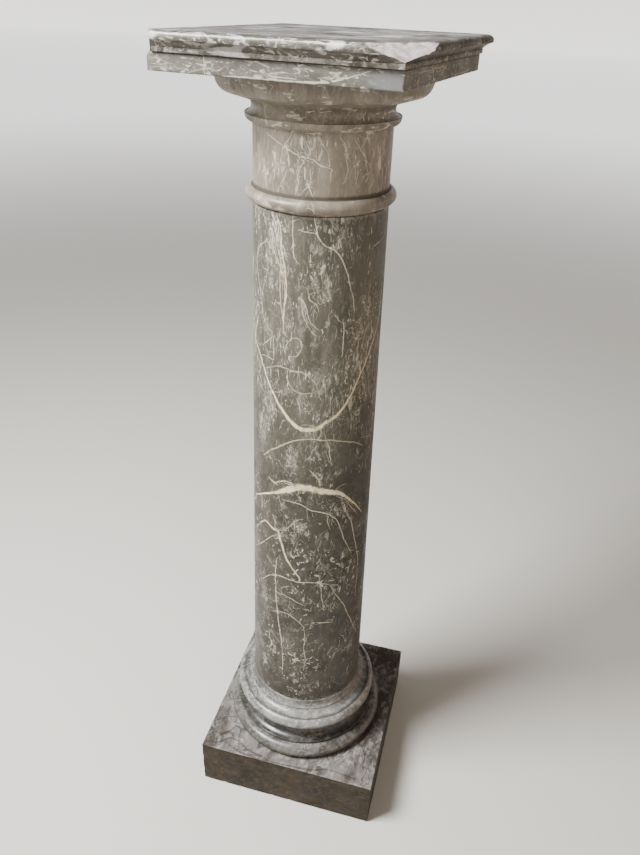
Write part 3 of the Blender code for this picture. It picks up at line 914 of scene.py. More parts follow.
# %% Send veins round the back
for _ in range(14):
    start, up = chance.uniform(12, 200), chance.uniform(230, 900)
    route = wander(start, up, chance.uniform(120, 260), chance.choice((80, 100, 20, 160, 200, 270)), 26)
    if route:
        thin_veins.append((route, (0.4, 0.9, 0.8, 0.4), chance.uniform(0.45, 0.75)))
for start, up, heading in ((35, 560, 8), (70, 740, -20), (95, 330, 25)):
    route = wander(start, up, 170, heading, 14)
    great_veins.append((route, (0.6, 1.8, 3.2, 2.0, 0.7), 0.9))
curls = []
for _ in range(150):
    start, up = chance.uniform(-180, 180), chance.uniform(200, 915)
    length, heading = chance.uniform(10, 34), chance.gauss(90, 35 if up > 640 else 70)
    route = wander(start, up, length, heading, 55, stride=4.5, far=False)
    if route:
        curls.append((route, (0.35, 0.75, 0.35), chance.uniform(0.25, 0.6)))

lay_veins(shaft, "great", great_veins)
lay_veins(shaft, "thin", thin_veins)
lay_veins(shaft, "curl", curls)

# %% [markdown]
# ### Fossils and blotches
# The pale spots are shells and broken clasts, and two on the lower front are painted reflections of the
# window's sheen. Each is an ellipse on the surface: the distance from its middle, measured in its own
# half sizes, goes into the same three numbers as a vein, so the marble can later treat both alike.

# %% Lay blotches
def lay_blotches(stone, sheet, marks):
    """Marks are (centre, half width mm, half height mm, strength)."""
    places = read_points(stone.data.vertices, "co", 3)
    near, strength = np.full(len(places), NO_ROUTE), np.zeros(len(places))
    for centre, across, up, opacity in marks:
        offset = (places - np.array(tuple(centre))) * 1000.0
        flat = np.hypot(offset[:, 0], offset[:, 1]) / across
        reach = np.hypot(flat, offset[:, 2] / up)
        closer = reach < near
        near[closer], strength[closer] = reach[closer], opacity
    write_sheet(stone, sheet, near, near, strength)
    print(sheet, "on", stone.name, "-", len(marks), "marks")


# %% Mark the fossils of the shaft
front_marks = [
    (-77, 899, 6.8, 6.4, 0.5), (-82, 881, 3.4, 2.8, 0.8), (-68, 857, 4.1, 12.6, 0.7),
    (-69, 844, 6.1, 2.9, 0.7), (-78, 861, 3.4, 7.9, 0.5), (-67, 812, 2.7, 7.2, 0.8),
    (-78, 803, 2.7, 4.9, 0.7), (-59, 766, 3.4, 5.2, 0.6), (-75, 754, 6.8, 13.0, 0.35),
    (-118, 856, 3.4, 13.9, 0.6), (-89, 805, 4.1, 17.0, 0.25), (-95, 625, 8.8, 19.6, 0.75),
    (-84, 524, 9.5, 7.5, 0.8), (-51, 608, 6.1, 5.5, 0.55), (-63, 453, 9.5, 7.2, 0.4),
    (-96, 474, 5.4, 5.3, 0.5), (-60, 509, 2.7, 8.6, 0.6), (-39, 467, 8.1, 9.2, 0.3),
    (-26, 272, 4.1, 8.2, 0.6), (-34, 250, 3.4, 9.3, 0.4), (-125, 242, 4.7, 11.2, 0.5),
    # the marks at -127 degrees, 377 mm up and at -95 degrees, 308 mm up are painted reflections of the
    # window's sheen
    (-71, 347, 3.2, 5.7, 0.8), (-127, 377, 8.1, 27.8, 0.5), (-95, 308, 13.5, 33.3, 0.2),
    (-98, 832, 4.1, 9.4, 0.35), (-46, 840, 2.7, 11.9, 0.25), (-102, 554, 5.4, 13.0, 0.4),
    (-112, 523, 4.1, 8.4, 0.4), (-53, 550, 4.1, 6.6, 0.6), (-130, 649, 8.1, 24.0, 0.45),
    (-88, 716, 6.8, 18.9, 0.3), (-107, 894, 2.7, 15.4, 0.4), (-136, 884, 3.4, 13.7, 0.4),
    (-77, 927, 2.7, 6.2, 0.5), (-77, 788, 4.1, 9.9, 0.45), (-70, 729, 4.1, 6.7, 0.5),
    (-122, 795, 4.1, 12.6, 0.35),
]
SPREADS = (5, 205), (210, 910), (2.5, 8), (4, 17), (0.25, 0.75)
far_marks = [tuple(chance.uniform(low, high) for low, high in SPREADS) for _ in range(34)]
fossils = []
for angle, up, across, tall, share in front_marks + far_marks:
    fossils.append((on_drum(angle, shaft_radius(up), up), across, tall, share))
lay_blotches(shaft, "fossil", fossils)

# %% [markdown]
# ### Veins of the capital
# The neck carries a long slanting vein and many short upright flecks. The lip of the astragal has a cream
# patch, where the ring was cut through a thicker piece of calcite.

# %% Draw the veins of the neck
neck_places = {
    0.8: [
        [(-123.5, 1010), (-115.6, 1005), (-106.8, 1000), (-101.5, 997), (-96.4, 994), (-91.6, 993),
         (-86.9, 991)],
        [(-86.9, 991), (-81.5, 989), (-75.4, 984), (-67.7, 981)],
        [(-87.9, 1005), (-85.5, 1000), (-84.7, 996), (-87.7, 990), (-90.7, 984), (-92.2, 980)],
        [(-70.4, 993), (-69.4, 986), (-68.5, 979), (-68.2, 971)],
        [(-112.4, 983), (-114.5, 975), (-115.5, 967)],
        [(-86.5, 969), (-84.8, 962), (-82.4, 956), (-80.7, 952)],
        [(-126.2, 978), (-125.6, 965), (-125.0, 956)],
    ],
    0.5: [
        [(-106.8, 1000), (-102.4, 1006), (-99.9, 1011)],
        [(-106.8, 1000), (-107.7, 993), (-108.6, 986)],
        [(-92.6, 1007), (-90.9, 1001), (-89.3, 998)],
        [(-77.5, 1010), (-75.2, 1004), (-72.0, 999)],
        [(-103.9, 976), (-105.7, 969), (-108.4, 963)],
        [(-92.9, 973), (-93.6, 965), (-94.4, 960)],
        [(-84.4, 982), (-84.3, 974), (-83.4, 969)],
        [(-62.0, 1011), (-57.7, 1004), (-57.3, 994), (-55.2, 980), (-57.2, 969)],
        [(-49.7, 1008), (-44.0, 997), (-39.7, 989), (-37.0, 977)],
    ],
}

# %% Lay them among short invented ones
neck_veins = []
for share, routes in neck_places.items():
    neck_veins += [(round_neck(*route), (0.35, 0.65, 0.35), share) for route in routes]
for _ in range(42):
    angle, up = chance.uniform(-180, 180), chance.uniform(955, 1004)
    lean = chance.gauss(0, 4)
    tall = chance.uniform(6, 18)
    middle = angle + lean / 2 + chance.gauss(0, 1), min(1010, up + tall / 2)
    route = round_neck((angle, up), middle, (angle + lean, min(1010.5, up + tall)))
    neck_veins.append((route, (0.3, 0.7, 0.3), chance.uniform(0.25, 0.6)))
lay_veins(capital, "thin", neck_veins)
lay_blotches(capital, "fossil", [
    (on_drum(-118, 84.0, 940), 9.0, 4.0, 0.7), (on_drum(-106, 84.0, 938), 8.0, 3.2, 0.8),
    (on_drum(-97, 83.0, 936), 5.0, 2.4, 0.6), (on_drum(140, 84.0, 941), 12.0, 4.0, 0.6),
    (on_drum(-80, 82.0, 1029), 5.0, 1.6, 0.5), (on_drum(-92, 111.0, 1053), 7.0, 1.3, 0.5),
    (on_drum(-70, 81.0, 935), 6.0, 2.0, 0.4),
])

# %% [markdown]
# ### Veins of the slabs
# On a slab a route is given from the middle of the slab along its front or its right side, and by its height.
# The abacus has a cream band that creeps along its lower edge and climbs to the right, an
# upright hair near the left, and a bracket on its right side.

# %% Give routes on the slabs
def slab_place(turn, along, out, up):
    place = Vector((along, out, up)) / 1000.0
    out_of_square(place, ABACUS_SIDE / 2, ABACUS_LEAN if turn == ABACUS_TURN else PLATE_LEAN)
    return Matrix.Rotation(turn, 3, "Z") @ place + AXIS


def on_front(turn, half, *places):
    return [slab_place(turn, along, -half, up) for along, up in places]


def on_right(turn, half, *places):
    return [slab_place(turn, half, along, up) for along, up in places]


# %% Draw the veins of the abacus
HALF_ABACUS = 129.0

abacus_front = [
    ([(-64.4, 1081), (-64.2, 1075.4), (-64.1, 1069.6), (-64.4, 1064.6)], (0.5, 0.7, 0.5), 0.6),
    ([(-44.8, 1065.3), (-25.7, 1065.6), (-6.9, 1065.1), (11.5, 1065.3), (29.5, 1065.2), (45.0, 1065.7),
      (55.0, 1066.6), (64.0, 1068.2), (72.0, 1070.3), (80.0, 1072.6), (88.0, 1075.0), (98.0, 1078.2)],
     (0.5, 1.0, 1.4, 1.2, 1.3, 1.0, 0.5, 0.35), 0.7),
    ([(-124.2, 1076.1), (-115.0, 1075.8), (-107.3, 1072.9), (-99.5, 1071.6)], (0.3, 0.6, 0.3), 0.3),
    ([(-125.2, 1067.5), (-113.4, 1069.1), (-99.9, 1067.4), (-88.5, 1068.9)], (0.3, 0.6, 0.3), 0.3),
    ([(-22.1, 1079.6), (-8.8, 1078.0), (5.4, 1074.8), (19.5, 1074.1), (31.3, 1076.5), (40.1, 1073.9)],
     (0.3, 0.7, 0.3), 0.4),
    ([(-2.8, 1068.7), (11.5, 1072.0), (25.5, 1071.3)], (0.3, 0.6, 0.3), 0.35),
    ([(52.8, 1070.0), (64.2, 1072.3), (74.6, 1072.2)], (0.3, 0.6, 0.3), 0.35),
    ([(-84.3, 1065.0), (-70.7, 1068.4), (-61.8, 1071.5), (-51.1, 1068.0)], (0.3, 0.6, 0.3), 0.3),
]
abacus_right = [
    ([(-44.0, 1064.5), (-46.2, 1070.1), (-45.6, 1076.7), (-30.2, 1076.5), (-14.9, 1078.2)],
     (0.7, 0.8, 0.7), 0.55),
    ([(-14.9, 1078.2), (-12.4, 1072.0), (-9.8, 1065.8)], (0.7, 0.8, 0.5), 0.5),
    ([(-94.0, 1076.5), (-74.8, 1076.9), (-51.4, 1076.2)], (0.4, 0.8, 0.4), 0.4),
    ([(16.6, 1067.4), (53.1, 1066.8), (92.3, 1067.1)], (0.4, 0.9, 0.4), 0.4),
]
slab_veins = []
for face, veins in ((on_front, abacus_front), (on_right, abacus_right)):
    for places, widths, share in veins:
        slab_veins.append((face(ABACUS_TURN, HALF_ABACUS, *places), widths, share))
lay_veins(abacus, "thin", slab_veins, 0.0026)
lay_blotches(abacus, "calm", [(slab_place(ABACUS_TURN, 116, -HALF_ABACUS, 1070), 24.0, 13.0, 1.0)])

# %% [markdown]
# The upper lip of the top plate's nose carries a pale band that is a painted highlight, with one
# white patch right of the middle and a small one at its left end. Three broad pale veins and three soft
# patches lie on its top.

# %% Draw the veins of the top plate
TOP_UP = 1100

# a pale band along the nose's upper lip: a painted highlight
lip_highlight = [
    (-118, 1097.3), (-90, 1097.6), (-60, 1097.4), (-30, 1097.9), (0, 1097.7), (30, 1098.2), (60, 1097.9),
    (88, 1098.3),
]
top_streaks = [
    ([(-118, -60), (-60, -20), (10, 5), (70, 40), (120, 90)], (0.8, 2.6, 1.6, 2.8, 0.8), 0.5),
    ([(-100, 90), (-50, 60), (0, 72), (60, 112)], (0.8, 2.0, 1.2, 0.7), 0.5),
    ([(20, -110), (60, -60), (78, 0), (90, 60)], (0.6, 1.6, 2.2, 0.7), 0.6),
]
plate_veins = [(on_front(TOP_TURN, 138.4, *lip_highlight), (0.8, 1.1, 0.7, 1.1, 0.7, 1.3, 1.0, 0.5), 0.55)]
for places, widths, share in top_streaks:
    route = [slab_place(TOP_TURN, along, out, TOP_UP) for along, out in places]
    plate_veins.append((route, widths, share))
lay_veins(top_plate, "thin", plate_veins, 0.003)

plate_patches = [
    ((70, -137, 1097), 10.0, 4.5, 0.75), ((56, -136, 1092), 6.0, 3.0, 0.6),
    ((-112, -137, 1096), 6.0, 3.0, 0.6), ((20, 10, TOP_UP), 22.0, 9.0, 0.35),
    ((78, -30, TOP_UP), 16.0, 9.0, 0.5), ((-60, 80, TOP_UP), 20.0, 9.0, 0.35),
]
patches = [(slab_place(TOP_TURN, *place), *rest) for place, *rest in plate_patches]
lay_blotches(top_plate, "fossil", patches)

# %% [markdown]
# The plinth has the opposite: dark smoky veins in a light ground. Nine cross its top, and four run along
# each of its sides, level but for a little chance.

# %% Draw the veins of the plinth
plinth_routes = [
    [(-139, -127), (-130, -114), (-115, -115), (-104, -104), (-98, -90)],
    [(-139, -135), (-116, -131), (-103, -119), (-85, -120), (-69, -128)],
    [(-137, -97), (-122, -84), (-105, -77)],
    [(-95, -132), (-75, -138), (-53, -141), (-35, -142)],
    [(-80, -126), (-61, -132), (-39, -136), (-24, -141)],
    [(-48, -142), (-6, -140), (42, -136), (70, -128), (112, -132)],
    [(-138, 20), (-120, 44), (-100, 96), (-60, 120)],
    [(40, 136), (72, 122), (104, 98), (136, 92)],
    [(96, -60), (118, -84), (120, -110), (138, -124)],
]
smoke = []
for route in plinth_routes:
    smoke.append(([Vector((x, y, 85.7)) / 1000.0 for x, y in route], (0.8, 1.8, 1.2, 0.8), 0.7))

# %% Draw smoke along its sides
SIDE_OUT = (142.5, 139.5)        # the front and back stand further out than the left and right

for up, left, right in ((36, -128, -37), (45, 44, 101), (20, -60, 30), (60, -30, 60)):
    for turn in range(4):
        alongs = [left + (right - left) * i / 4 for i in range(5)]
        out = -SIDE_OUT[turn % 2]
        places = [Vector((along, out, up + chance.gauss(0, 4))) / 1000.0 for along in alongs]
        route = [Matrix.Rotation(math.radians(90 * turn), 3, "Z") @ place for place in places]
        smoke.append((route, (0.5, 1.3, 0.6), 0.45))
lay_veins(plinth, "smoke", smoke, 0.0036)

# %% [markdown]
# ## Patterns for marble
# A procedural marble reads every pattern at the stone's own coordinates, so that it runs through the
# block like the real thing. `cloud` is plain noise. `flecks` keeps only the peaks of a noise that has been
# squeezed along the bed of the stone, which gives long crumbs. `threads` keeps a thin slice: where a noise
# crosses one value it draws a line that wanders. `laid` turns the numbers that we wrote for veins and
# fossils back into a mask, with a little noise on the border, because no vein has a clean edge.

# %% Make the patterns
CROWDING = 0.10


def centred(tree, value):
    """A noise runs from 0 to 1; this moves its middle to 0."""
    return maths(tree, "SUBTRACT", value, 0.5)


def cloud(tree, place, scale, detail=3.0, roughness=0.55, distortion=0.0, stretch=None):
    if stretch:
        place = lay(tree, "Mapping", {"Vector": place, "Scale": stretch}).outputs[0]
    made = lay(
        tree, "TexNoise",
        {"Vector": place, "Scale": scale, "Detail": detail, "Roughness": roughness, "Distortion": distortion},
    )
    return made.outputs["Fac"]


def flecks(tree, place, scale, stretch, edge, crowd=None, softness=0.05, distortion=0.7):
    value = cloud(tree, place, scale, distortion=distortion, stretch=stretch)
    if crowd is not None:
        value = plus(tree, value, times(tree, crowd, CROWDING))
    return between(tree, value, edge, edge + softness)


def threads(tree, place, scale, stretch, width, shown, distortion=2.0):
    value = cloud(tree, place, scale, 2.5, 0.5, distortion, stretch)
    gap = maths(tree, "ABSOLUTE", centred(tree, value))
    return times(tree, opposite(tree, between(tree, gap, width * 0.4, width)), shown)


def laid(tree, place, sheet, ragged=0.5, grain=260.0, soft=0.5, reach=1.0):
    side = maths(tree, "ABSOLUTE", written(tree, sheet + "_side"))
    gap = maths(tree, "MAXIMUM", side, written(tree, sheet + "_near"))
    rough = times(tree, centred(tree, cloud(tree, place, grain, 3.0, 0.6)), 2.0 * ragged)
    outside = between(tree, plus(tree, gap, rough), (1.0 - soft) * reach, 1.15 * reach)
    return times(tree, opposite(tree, outside), written(tree, sheet + "_strength"))


# %% [markdown]
# ### Starting a marble
# All the marbles start from three tones of ground: a soft cloud mixes the dark and the middle one, and
# a finer mottle lays the light one over them.

# %% Start a marble
def start_marble(material):
    material.use_nodes = True
    tree = material.node_tree
    place = lay(tree, "TexCoord", {}).outputs["Object"]
    return tree, tree.nodes["Principled BSDF"], place


def ground_tones(tree, place, tones, scale, stretch, blend=0.75):
    dark, middle, light = tones
    patches = between(tree, cloud(tree, place, scale, 4.0, 0.6, 0.5, stretch), 0.40, 0.60)
    colour = over(tree, patches, dark, middle)
    mottle = between(tree, cloud(tree, place, scale * 4.5, 5.0, 0.65, 0.8, stretch), 0.46, 0.70)
    return over(tree, mottle, colour, light, blend)


# %% [markdown]
# ### Finishing a marble
# All end alike too: dirt and painted shade darken the hollows, rubbing lightens the edges, undersides
# get painted shade, and the side turned away from the window is painted browner and darker as shade,
# and is duller. The underside and side shades are tints, so they multiply the stone's colour rather than
# hide it. The polish is uneven, and a very low bump, less than half a millimetre, breaks up the sheen.

# %% Finish a marble
DIRT_AND_SHADE, RUBBED = (0.030, 0.023, 0.015), (0.50, 0.47, 0.42)
UNDERSIDE_SHADE_TINT, SIDE_SHADE_TINT = (0.22, 0.19, 0.15), (0.58, 0.44, 0.30)
BUMP_STRENGTH, BUMP_DEPTH = 0.22, 0.0004


def finish_colour(tree, place, colour, grime_and_shade, away, dirt_and_shade, rub, side_shade, under):
    # the hollows get dirt and painted shade
    colour = over(tree, grime_and_shade, colour, DIRT_AND_SHADE, dirt_and_shade)
    edge = between(tree, times(tree, written(tree, "hollow"), -1.0), 0.14, 0.50)
    edge = times(tree, edge, between(tree, cloud(tree, place, 130.0), 0.42, 0.60))
    colour = over(tree, edge, colour, RUBBED, rub)
    # painted shade on the surfaces that face down; under sets its strength
    if under:
        underside_shade = between(tree, times(tree, written(tree, "upward"), -1.0), -0.35, 0.55)
        colour = over(tree, underside_shade, colour, UNDERSIDE_SHADE_TINT, under, "MULTIPLY")
    # painted shade: the side turned away from the window is made browner and darker
    return over(tree, away, colour, SIDE_SHADE_TINT, side_shade, "MULTIPLY")


def finish_marble(
    tree, shader, place, colour, marks, polish, dirt_and_shade=0.55, rub=0.25, gloss=0.35, side_shade=0.7, under=0.0
):
    uneven = times(tree, cloud(tree, place, 90.0), 0.12)
    # the hollows, which get dirt and painted shade
    grime_and_shade = between(tree, plus(tree, written(tree, "hollow"), uneven), 0.09, 0.42)
    # away marks the side turned from the window, which gets painted shade
    away = between(tree, written(tree, "shaded_side"), 0.10, 0.95)
    colour = finish_colour(tree, place, colour, grime_and_shade, away, dirt_and_shade, rub, side_shade, under)
    tree.links.new(colour, shader.inputs["Base Color"])
    shader.inputs["Specular IOR Level"].default_value = gloss
    sheen = lay(
        tree, "MapRange", {"Value": cloud(tree, place, 34.0, 4.0), "From Min": 0.35, "From Max": 0.65,
                           "To Min": polish - 0.06, "To Max": polish + 0.10},
    ).outputs["Result"]
    dull = plus(tree, times(tree, grime_and_shade, 0.25), times(tree, away, side_shade * 0.22))
    tree.links.new(plus(tree, sheen, dull), shader.inputs["Roughness"])
    relief = plus(tree, times(tree, marks, 0.25), cloud(tree, place, 240.0, 4.0))
    bump = lay(tree, "Bump", {"Height": relief, "Strength": BUMP_STRENGTH, "Distance": BUMP_DEPTH})
    tree.links.new(bump.outputs["Normal"], shader.inputs["Normal"])


# %% [markdown]
# ## The marble of the shaft
# The shaft is an olive-grey marble crowded with pale crumbs. In its upper part the crumbs are drawn out
# upright, like rain; lower down the ground is browner and darker, and the crumbs are curly and scattered. One
# height decides between the two, softened by noise so that no line shows.

# %% Mix the marble of the shaft
LOW_TONES = (0.018, 0.015, 0.009), (0.041, 0.035, 0.024), (0.094, 0.084, 0.063)
HIGH_TONES = (0.056, 0.051, 0.037), (0.090, 0.083, 0.062), (0.165, 0.154, 0.123)

shaft_marble = bpy.data.materials.new("shaft_marble")
tree, shader, place = start_marble(shaft_marble)
uneven = times(tree, centred(tree, cloud(tree, place, 9.0)), 0.25)
upper = between(tree, plus(tree, height_in(tree, place), uneven), 0.55, 0.75)
low_ground = ground_tones(tree, place, LOW_TONES, 18.0, (1, 1, 0.8), 0.6)
high_ground = ground_tones(tree, place, HIGH_TONES, 20.0, (1, 1, 0.35), 0.5)
colour = over(tree, upper, low_ground, high_ground)
bands = between(tree, cloud(tree, place, 60.0, 2.0, 0.5, stretch=(1, 1, 0.03)), 0.46, 0.62)
colour = over(tree, bands, colour, (0.036, 0.031, 0.022), 0.38)

# %% Scatter crumbs, threads and pits
crowd = between(tree, cloud(tree, place, 15.0, stretch=(1, 1, 0.5)), 0.42, 0.60)
rain = flecks(tree, place, 250.0, (1, 1, 0.30), 0.680, crowd, softness=0.035, distortion=1.0)
crumbs = flecks(tree, place, 105.0, (1, 1, 0.7), 0.705, crowd, distortion=1.5)
marks = lay(tree, "Mix", {0: upper, 2: crumbs, 3: rain}).outputs[0]
colour = over(tree, marks, colour, (0.50, 0.465, 0.380), 0.76)
clots = flecks(tree, place, 70.0, (1, 1, 0.6), 0.70, crowd, distortion=1.8)
colour = over(tree, clots, colour, (0.30, 0.28, 0.225), 0.55)
dust = flecks(tree, place, 430.0, (1, 1, 0.25), 0.625, crowd)
dust = times(tree, dust, plus(tree, 0.15, upper, clamp=True))
colour = over(tree, dust, colour, (0.34, 0.31, 0.25), 0.36)
shown = between(tree, cloud(tree, place, 30.0, 2.0), 0.48, 0.58)
curly = threads(tree, place, 48.0, (1, 1, 0.55), 0.014, shown)
colour = over(tree, curly, colour, (0.46, 0.43, 0.34), 0.5)
pits = between(tree, cloud(tree, place, 340.0), 0.58, 0.66)
colour = over(tree, pits, colour, (0.020, 0.016, 0.011), 0.38)

# %% Lay the drawn veins over it
faded = between(tree, cloud(tree, place, 110.0), 0.36, 0.56)
grainy = between(tree, cloud(tree, place, 280.0, 3.0, 0.6, 1.0), 0.44, 0.56)
grainy = plus(tree, 0.25, grainy, clamp=True)
fossil = times(tree, laid(tree, place, "fossil", ragged=2.0, grain=210.0, soft=0.6), grainy)
colour = over(tree, fossil, colour, (0.38, 0.36, 0.30), 0.75)
curl = times(tree, laid(tree, place, "curl", ragged=0.8), faded)
colour = over(tree, curl, colour, (0.44, 0.41, 0.34))
thin = times(tree, laid(tree, place, "thin", ragged=0.8), plus(tree, 0.5, faded, clamp=True))
colour = over(tree, thin, colour, (0.54, 0.50, 0.375))
halo = laid(tree, place, "great", ragged=1.0, grain=130.0, soft=0.9, reach=1.7)
colour = over(tree, halo, colour, (0.200, 0.160, 0.080), 0.5)
great = laid(tree, place, "great", ragged=0.95, grain=210.0)
cream = over(tree, faded, (0.50, 0.42, 0.25), (0.68, 0.605, 0.435))
colour = over(tree, great, colour, cream)
marks = maths(tree, "MAXIMUM", marks, great)
finish_marble(tree, shader, place, colour, marks, polish=0.42)
shaft.data.materials.append(shaft_marble)

# %% [markdown]
# ## The marble of the base
# The base is a cooler grey with soft white mottling and hardly a vein. It was handled and cleaned most, so
# it keeps the best polish of all the stones. Its deep hollow is painted near black as shade, a thin line
# of painted shade lies in each of the two steps above the upper roll, and the lower roll is painted darker as
# shade.

# %% Mix the marble of the base
BASE_TONES = (0.085, 0.082, 0.075), (0.180, 0.175, 0.164), (0.370, 0.362, 0.342)

base_marble = bpy.data.materials.new("base_marble")
tree, shader, place = start_marble(base_marble)
colour = ground_tones(tree, place, BASE_TONES, 26.0, (1, 1, 1))
marks = flecks(tree, place, 85.0, (1, 1, 0.9), 0.54, softness=0.16, distortion=2.0)
colour = over(tree, marks, colour, (0.40, 0.395, 0.37), 0.5)
shown = between(tree, cloud(tree, place, 24.0, 2.0), 0.46, 0.60)
streaks = threads(tree, place, 30.0, (1, 1, 2.2), 0.020, shown, 1.5)
colour = over(tree, streaks, colour, (0.52, 0.50, 0.46), 0.5)

# %% Paint shade into its hollow, its steps and its lower roll
STEPS_UP, STEP_SHADE_WIDTH = (0.1661, 0.1592), (0.0004, 0.0010)

height = plus(tree, height_in(tree, place), times(tree, cloud(tree, place, 40.0), 0.006))
# painted shade, near black, in the hollow under the upper roll
under_rim = opposite(tree, between(tree, height, 0.1390, 0.1425))
scotia_shade = times(tree, between(tree, height, 0.1135, 0.1175), under_rim)
colour = over(tree, scotia_shade, colour, (0.19, 0.175, 0.155), 0.9, "MULTIPLY")
# painted shade: the lower roll is darker
foot = opposite(tree, between(tree, height, 0.1090, 0.1180))
colour = over(tree, foot, colour, (0.50, 0.48, 0.45), 0.9, "MULTIPLY")
# a thin line of painted shade in each step
for step_up in STEPS_UP:
    gap = maths(tree, "ABSOLUTE", maths(tree, "SUBTRACT", height_in(tree, place), step_up))
    step_shade = opposite(tree, between(tree, gap, *STEP_SHADE_WIDTH))
    colour = over(tree, step_shade, colour, (0.040, 0.034, 0.027), 0.75)
finish_marble(
    tree, shader, place, colour, marks, polish=0.26, dirt_and_shade=1.0, rub=0.12, gloss=0.42, side_shade=1.0, under=0.85
)
base.data.materials.append(base_marble)

# %% [markdown]
# ## The marble of the capital
# The capital came from a browner bed. It is paler than the shaft and streaked upright on the neck; the
# echinus above it has only a few level dashes.

# %% Mix the marble of the capital
CAPITAL_TONES = (0.124, 0.103, 0.076), (0.196, 0.166, 0.127), (0.303, 0.266, 0.208)

capital_marble = bpy.data.materials.new("capital_marble")
tree, shader, place = start_marble(capital_marble)
colour = ground_tones(tree, place, CAPITAL_TONES, 24.0, (1, 1, 0.35), 0.6)
bands = between(tree, cloud(tree, place, 70.0, 2.0, 0.5, stretch=(1, 1, 0.05)), 0.46, 0.62)
colour = over(tree, bands, colour, (0.090, 0.073, 0.052), 0.28)
crowd = between(tree, cloud(tree, place, 18.0), 0.40, 0.60)
upright = flecks(tree, place, 230.0, (1, 1, 0.24), 0.712, crowd, softness=0.04)
level = flecks(tree, place, 130.0, (0.40, 0.40, 1.4), 0.665, crowd, distortion=0.8)
echinus = between(tree, height_in(tree, place), 1.008, 1.014)
marks = lay(tree, "Mix", {0: echinus, 2: upright, 3: level}).outputs[0]
colour = over(tree, marks, colour, (0.58, 0.52, 0.41), 0.72)
dust = flecks(tree, place, 430.0, (1, 1, 0.3), 0.60, crowd, softness=0.08)
colour = over(tree, dust, colour, (0.38, 0.34, 0.28), 0.20)
shown = between(tree, cloud(tree, place, 34.0, 2.0), 0.46, 0.56)
curly = threads(tree, place, 40.0, (1, 1, 0.5), 0.012, shown, 1.6)
colour = over(tree, curly, colour, (0.52, 0.47, 0.38), 0.5)
fossil = laid(tree, place, "fossil", ragged=1.1, grain=150.0, soft=0.7)
colour = over(tree, fossil, colour, (0.56, 0.49, 0.34), 0.85)
thin = laid(tree, place, "thin")
colour = over(tree, thin, colour, (0.56, 0.51, 0.43))
finish_marble(tree, shader, place, colour, marks, polish=0.38, dirt_and_shade=0.85, gloss=0.4, side_shade=0.62, under=0.2)
capital.data.materials.append(capital_marble)

# %% [markdown]
# ## The marbles of the slabs
# The abacus is the lightest stone, full of short white dashes that lie level. Its near corner is
# a calm bluish grey. The plate above it is dark violet grey on top and streaked, because nobody rubs a
# top flat, and the floor of its break is raw, pinkish white and without any shine.

# %% Mix the marble of the abacus
ABACUS_TONES = (0.062, 0.057, 0.045), (0.096, 0.089, 0.073), (0.158, 0.148, 0.128)
LEVEL_BED = (0.6, 0.6, 1.2)

abacus_marble = bpy.data.materials.new("abacus_marble")
tree, shader, place = start_marble(abacus_marble)
colour = ground_tones(tree, place, ABACUS_TONES, 40.0, LEVEL_BED)
marks = flecks(tree, place, 300.0, (0.34, 0.34, 1.0), 0.575, softness=0.06)
colour = over(tree, marks, colour, (0.46, 0.435, 0.37), 0.6)
dashes = flecks(tree, place, 190.0, (0.30, 0.30, 1.3), 0.645, softness=0.06, distortion=0.6)
colour = over(tree, dashes, colour, (0.58, 0.55, 0.48), 0.55)
calm = laid(tree, place, "calm", ragged=0.35, grain=70.0, soft=0.7)
colour = over(tree, calm, colour, (0.128, 0.129, 0.131), 0.78)
thin = laid(tree, place, "thin", ragged=0.55, grain=230.0)
colour = over(tree, thin, colour, (0.60, 0.55, 0.44), 0.8)
finish_marble(tree, shader, place, colour, marks, polish=0.42, dirt_and_shade=0.6, gloss=0.25, side_shade=1.0)
abacus.data.materials.append(abacus_marble)

# %% Mix the marble of the top plate
FACE_TONES = (0.044, 0.039, 0.030), (0.078, 0.071, 0.058), (0.165, 0.155, 0.135)
FLAT_TONES = (0.005, 0.003, 0.003), (0.034, 0.025, 0.025), (0.270, 0.250, 0.243)

tree, shader, place = start_marble(top_marble)
face_ground = ground_tones(tree, place, FACE_TONES, 48.0, LEVEL_BED)
flat_ground = ground_tones(tree, place, FLAT_TONES, 12.0, (0.34, 1.2, 1), 0.95)
flat = between(tree, written(tree, "upward"), 0.90, 0.99)
colour = over(tree, flat, face_ground, flat_ground)
marks = flecks(tree, place, 260.0, (0.38, 0.38, 1.0), 0.585, distortion=0.9)
marks = times(tree, marks, opposite(tree, times(tree, flat, 0.65)))
colour = over(tree, marks, colour, (0.48, 0.45, 0.39), 0.55)
shown = between(tree, cloud(tree, place, 16.0, 2.0), 0.46, 0.58)
streaks = threads(tree, place, 18.0, (0.7, 1.6, 1), 0.018, shown, 1.5)
colour = over(tree, streaks, colour, (0.46, 0.44, 0.42), 0.45)
fossil = laid(tree, place, "fossil", ragged=1.2, grain=120.0, soft=0.7)
colour = over(tree, fossil, colour, (0.62, 0.60, 0.57), 0.9)
thin = laid(tree, place, "thin", ragged=0.6, grain=160.0)
colour = over(tree, thin, colour, (0.64, 0.62, 0.58))
finish_marble(tree, shader, place, colour, marks, polish=0.38, dirt_and_shade=0.6, rub=0.20, gloss=0.14, side_shade=1.0)

# %% Mix the fresh stone of the break
BREAK_TONES = (0.330, 0.290, 0.280), (0.450, 0.410, 0.400), (0.580, 0.545, 0.535)

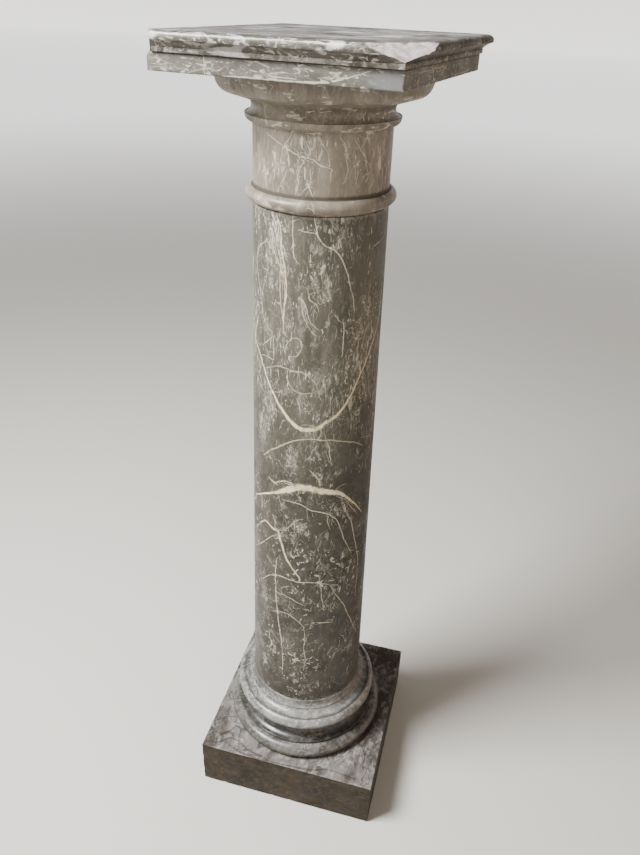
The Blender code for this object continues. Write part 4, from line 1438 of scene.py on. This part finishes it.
tree, shader, place = start_marble(break_marble)
colour = ground_tones(tree, place, BREAK_TONES, 60.0, (1, 1, 1))
marks = flecks(tree, place, 260.0, (1, 1, 1), 0.60, softness=0.10)
colour = over(tree, marks, colour, (0.70, 0.67, 0.66), 0.5)
stain = between(tree, cloud(tree, place, 55.0), 0.60, 0.70)
colour = over(tree, stain, colour, (0.20, 0.20, 0.16), 0.4)
finish_marble(tree, shader, place, colour, marks, polish=0.74, dirt_and_shade=0.2, rub=0.2, gloss=0.2, side_shade=0.3)

# %% [markdown]
# ## The marble of the plinth
# The plinth lies where shoes and mops reach it. Its top is washed to a light pinkish grey with smoky veins,
# while its four sides are dull and brown and painted much darker still as shade. The `upward` numbers tell
# the two apart.

# %% Mix the marble of the plinth
SHADED_SIDE_TONES = (0.012, 0.008, 0.004), (0.029, 0.019, 0.010), (0.066, 0.045, 0.024)
WASHED_TONES = (0.060, 0.051, 0.044), (0.165, 0.150, 0.137), (0.340, 0.318, 0.297)

plinth_marble = bpy.data.materials.new("plinth_marble")
tree, shader, place = start_marble(plinth_marble)
# the sides are dull brown stone, painted much darker still as shade
shaded_side_ground = ground_tones(tree, place, SHADED_SIDE_TONES, 24.0, (0.9, 0.9, 1.1), 0.6)
washed_ground = ground_tones(tree, place, WASHED_TONES, 15.0, (1.3, 0.8, 1), 0.7)
washed = between(tree, written(tree, "upward"), 0.55, 0.85)
colour = over(tree, washed, shaded_side_ground, washed_ground)
marks = flecks(tree, place, 110.0, (0.6, 0.6, 1.3), 0.64, softness=0.08, distortion=1.5)
colour = over(tree, marks, colour, (0.22, 0.18, 0.14), 0.25)
shown = between(tree, cloud(tree, place, 14.0), 0.45, 0.55)
smoky = threads(tree, place, 20.0, (1.2, 0.8, 1.6), 0.030, shown, 2.2)
colour = over(tree, smoky, colour, (0.040, 0.031, 0.026), 0.65)
smoke_lines = laid(tree, place, "smoke", ragged=1.1, grain=90.0, soft=0.9, reach=1.25)
colour = over(tree, smoke_lines, colour, (0.034, 0.026, 0.022), 0.95)
finish_marble(tree, shader, place, colour, marks, polish=0.46, dirt_and_shade=0.4, gloss=0.15, side_shade=0.4)
plinth.data.materials.append(plinth_marble)
print("marbles:", [material.name for material in bpy.data.materials if "marble" in material.name])
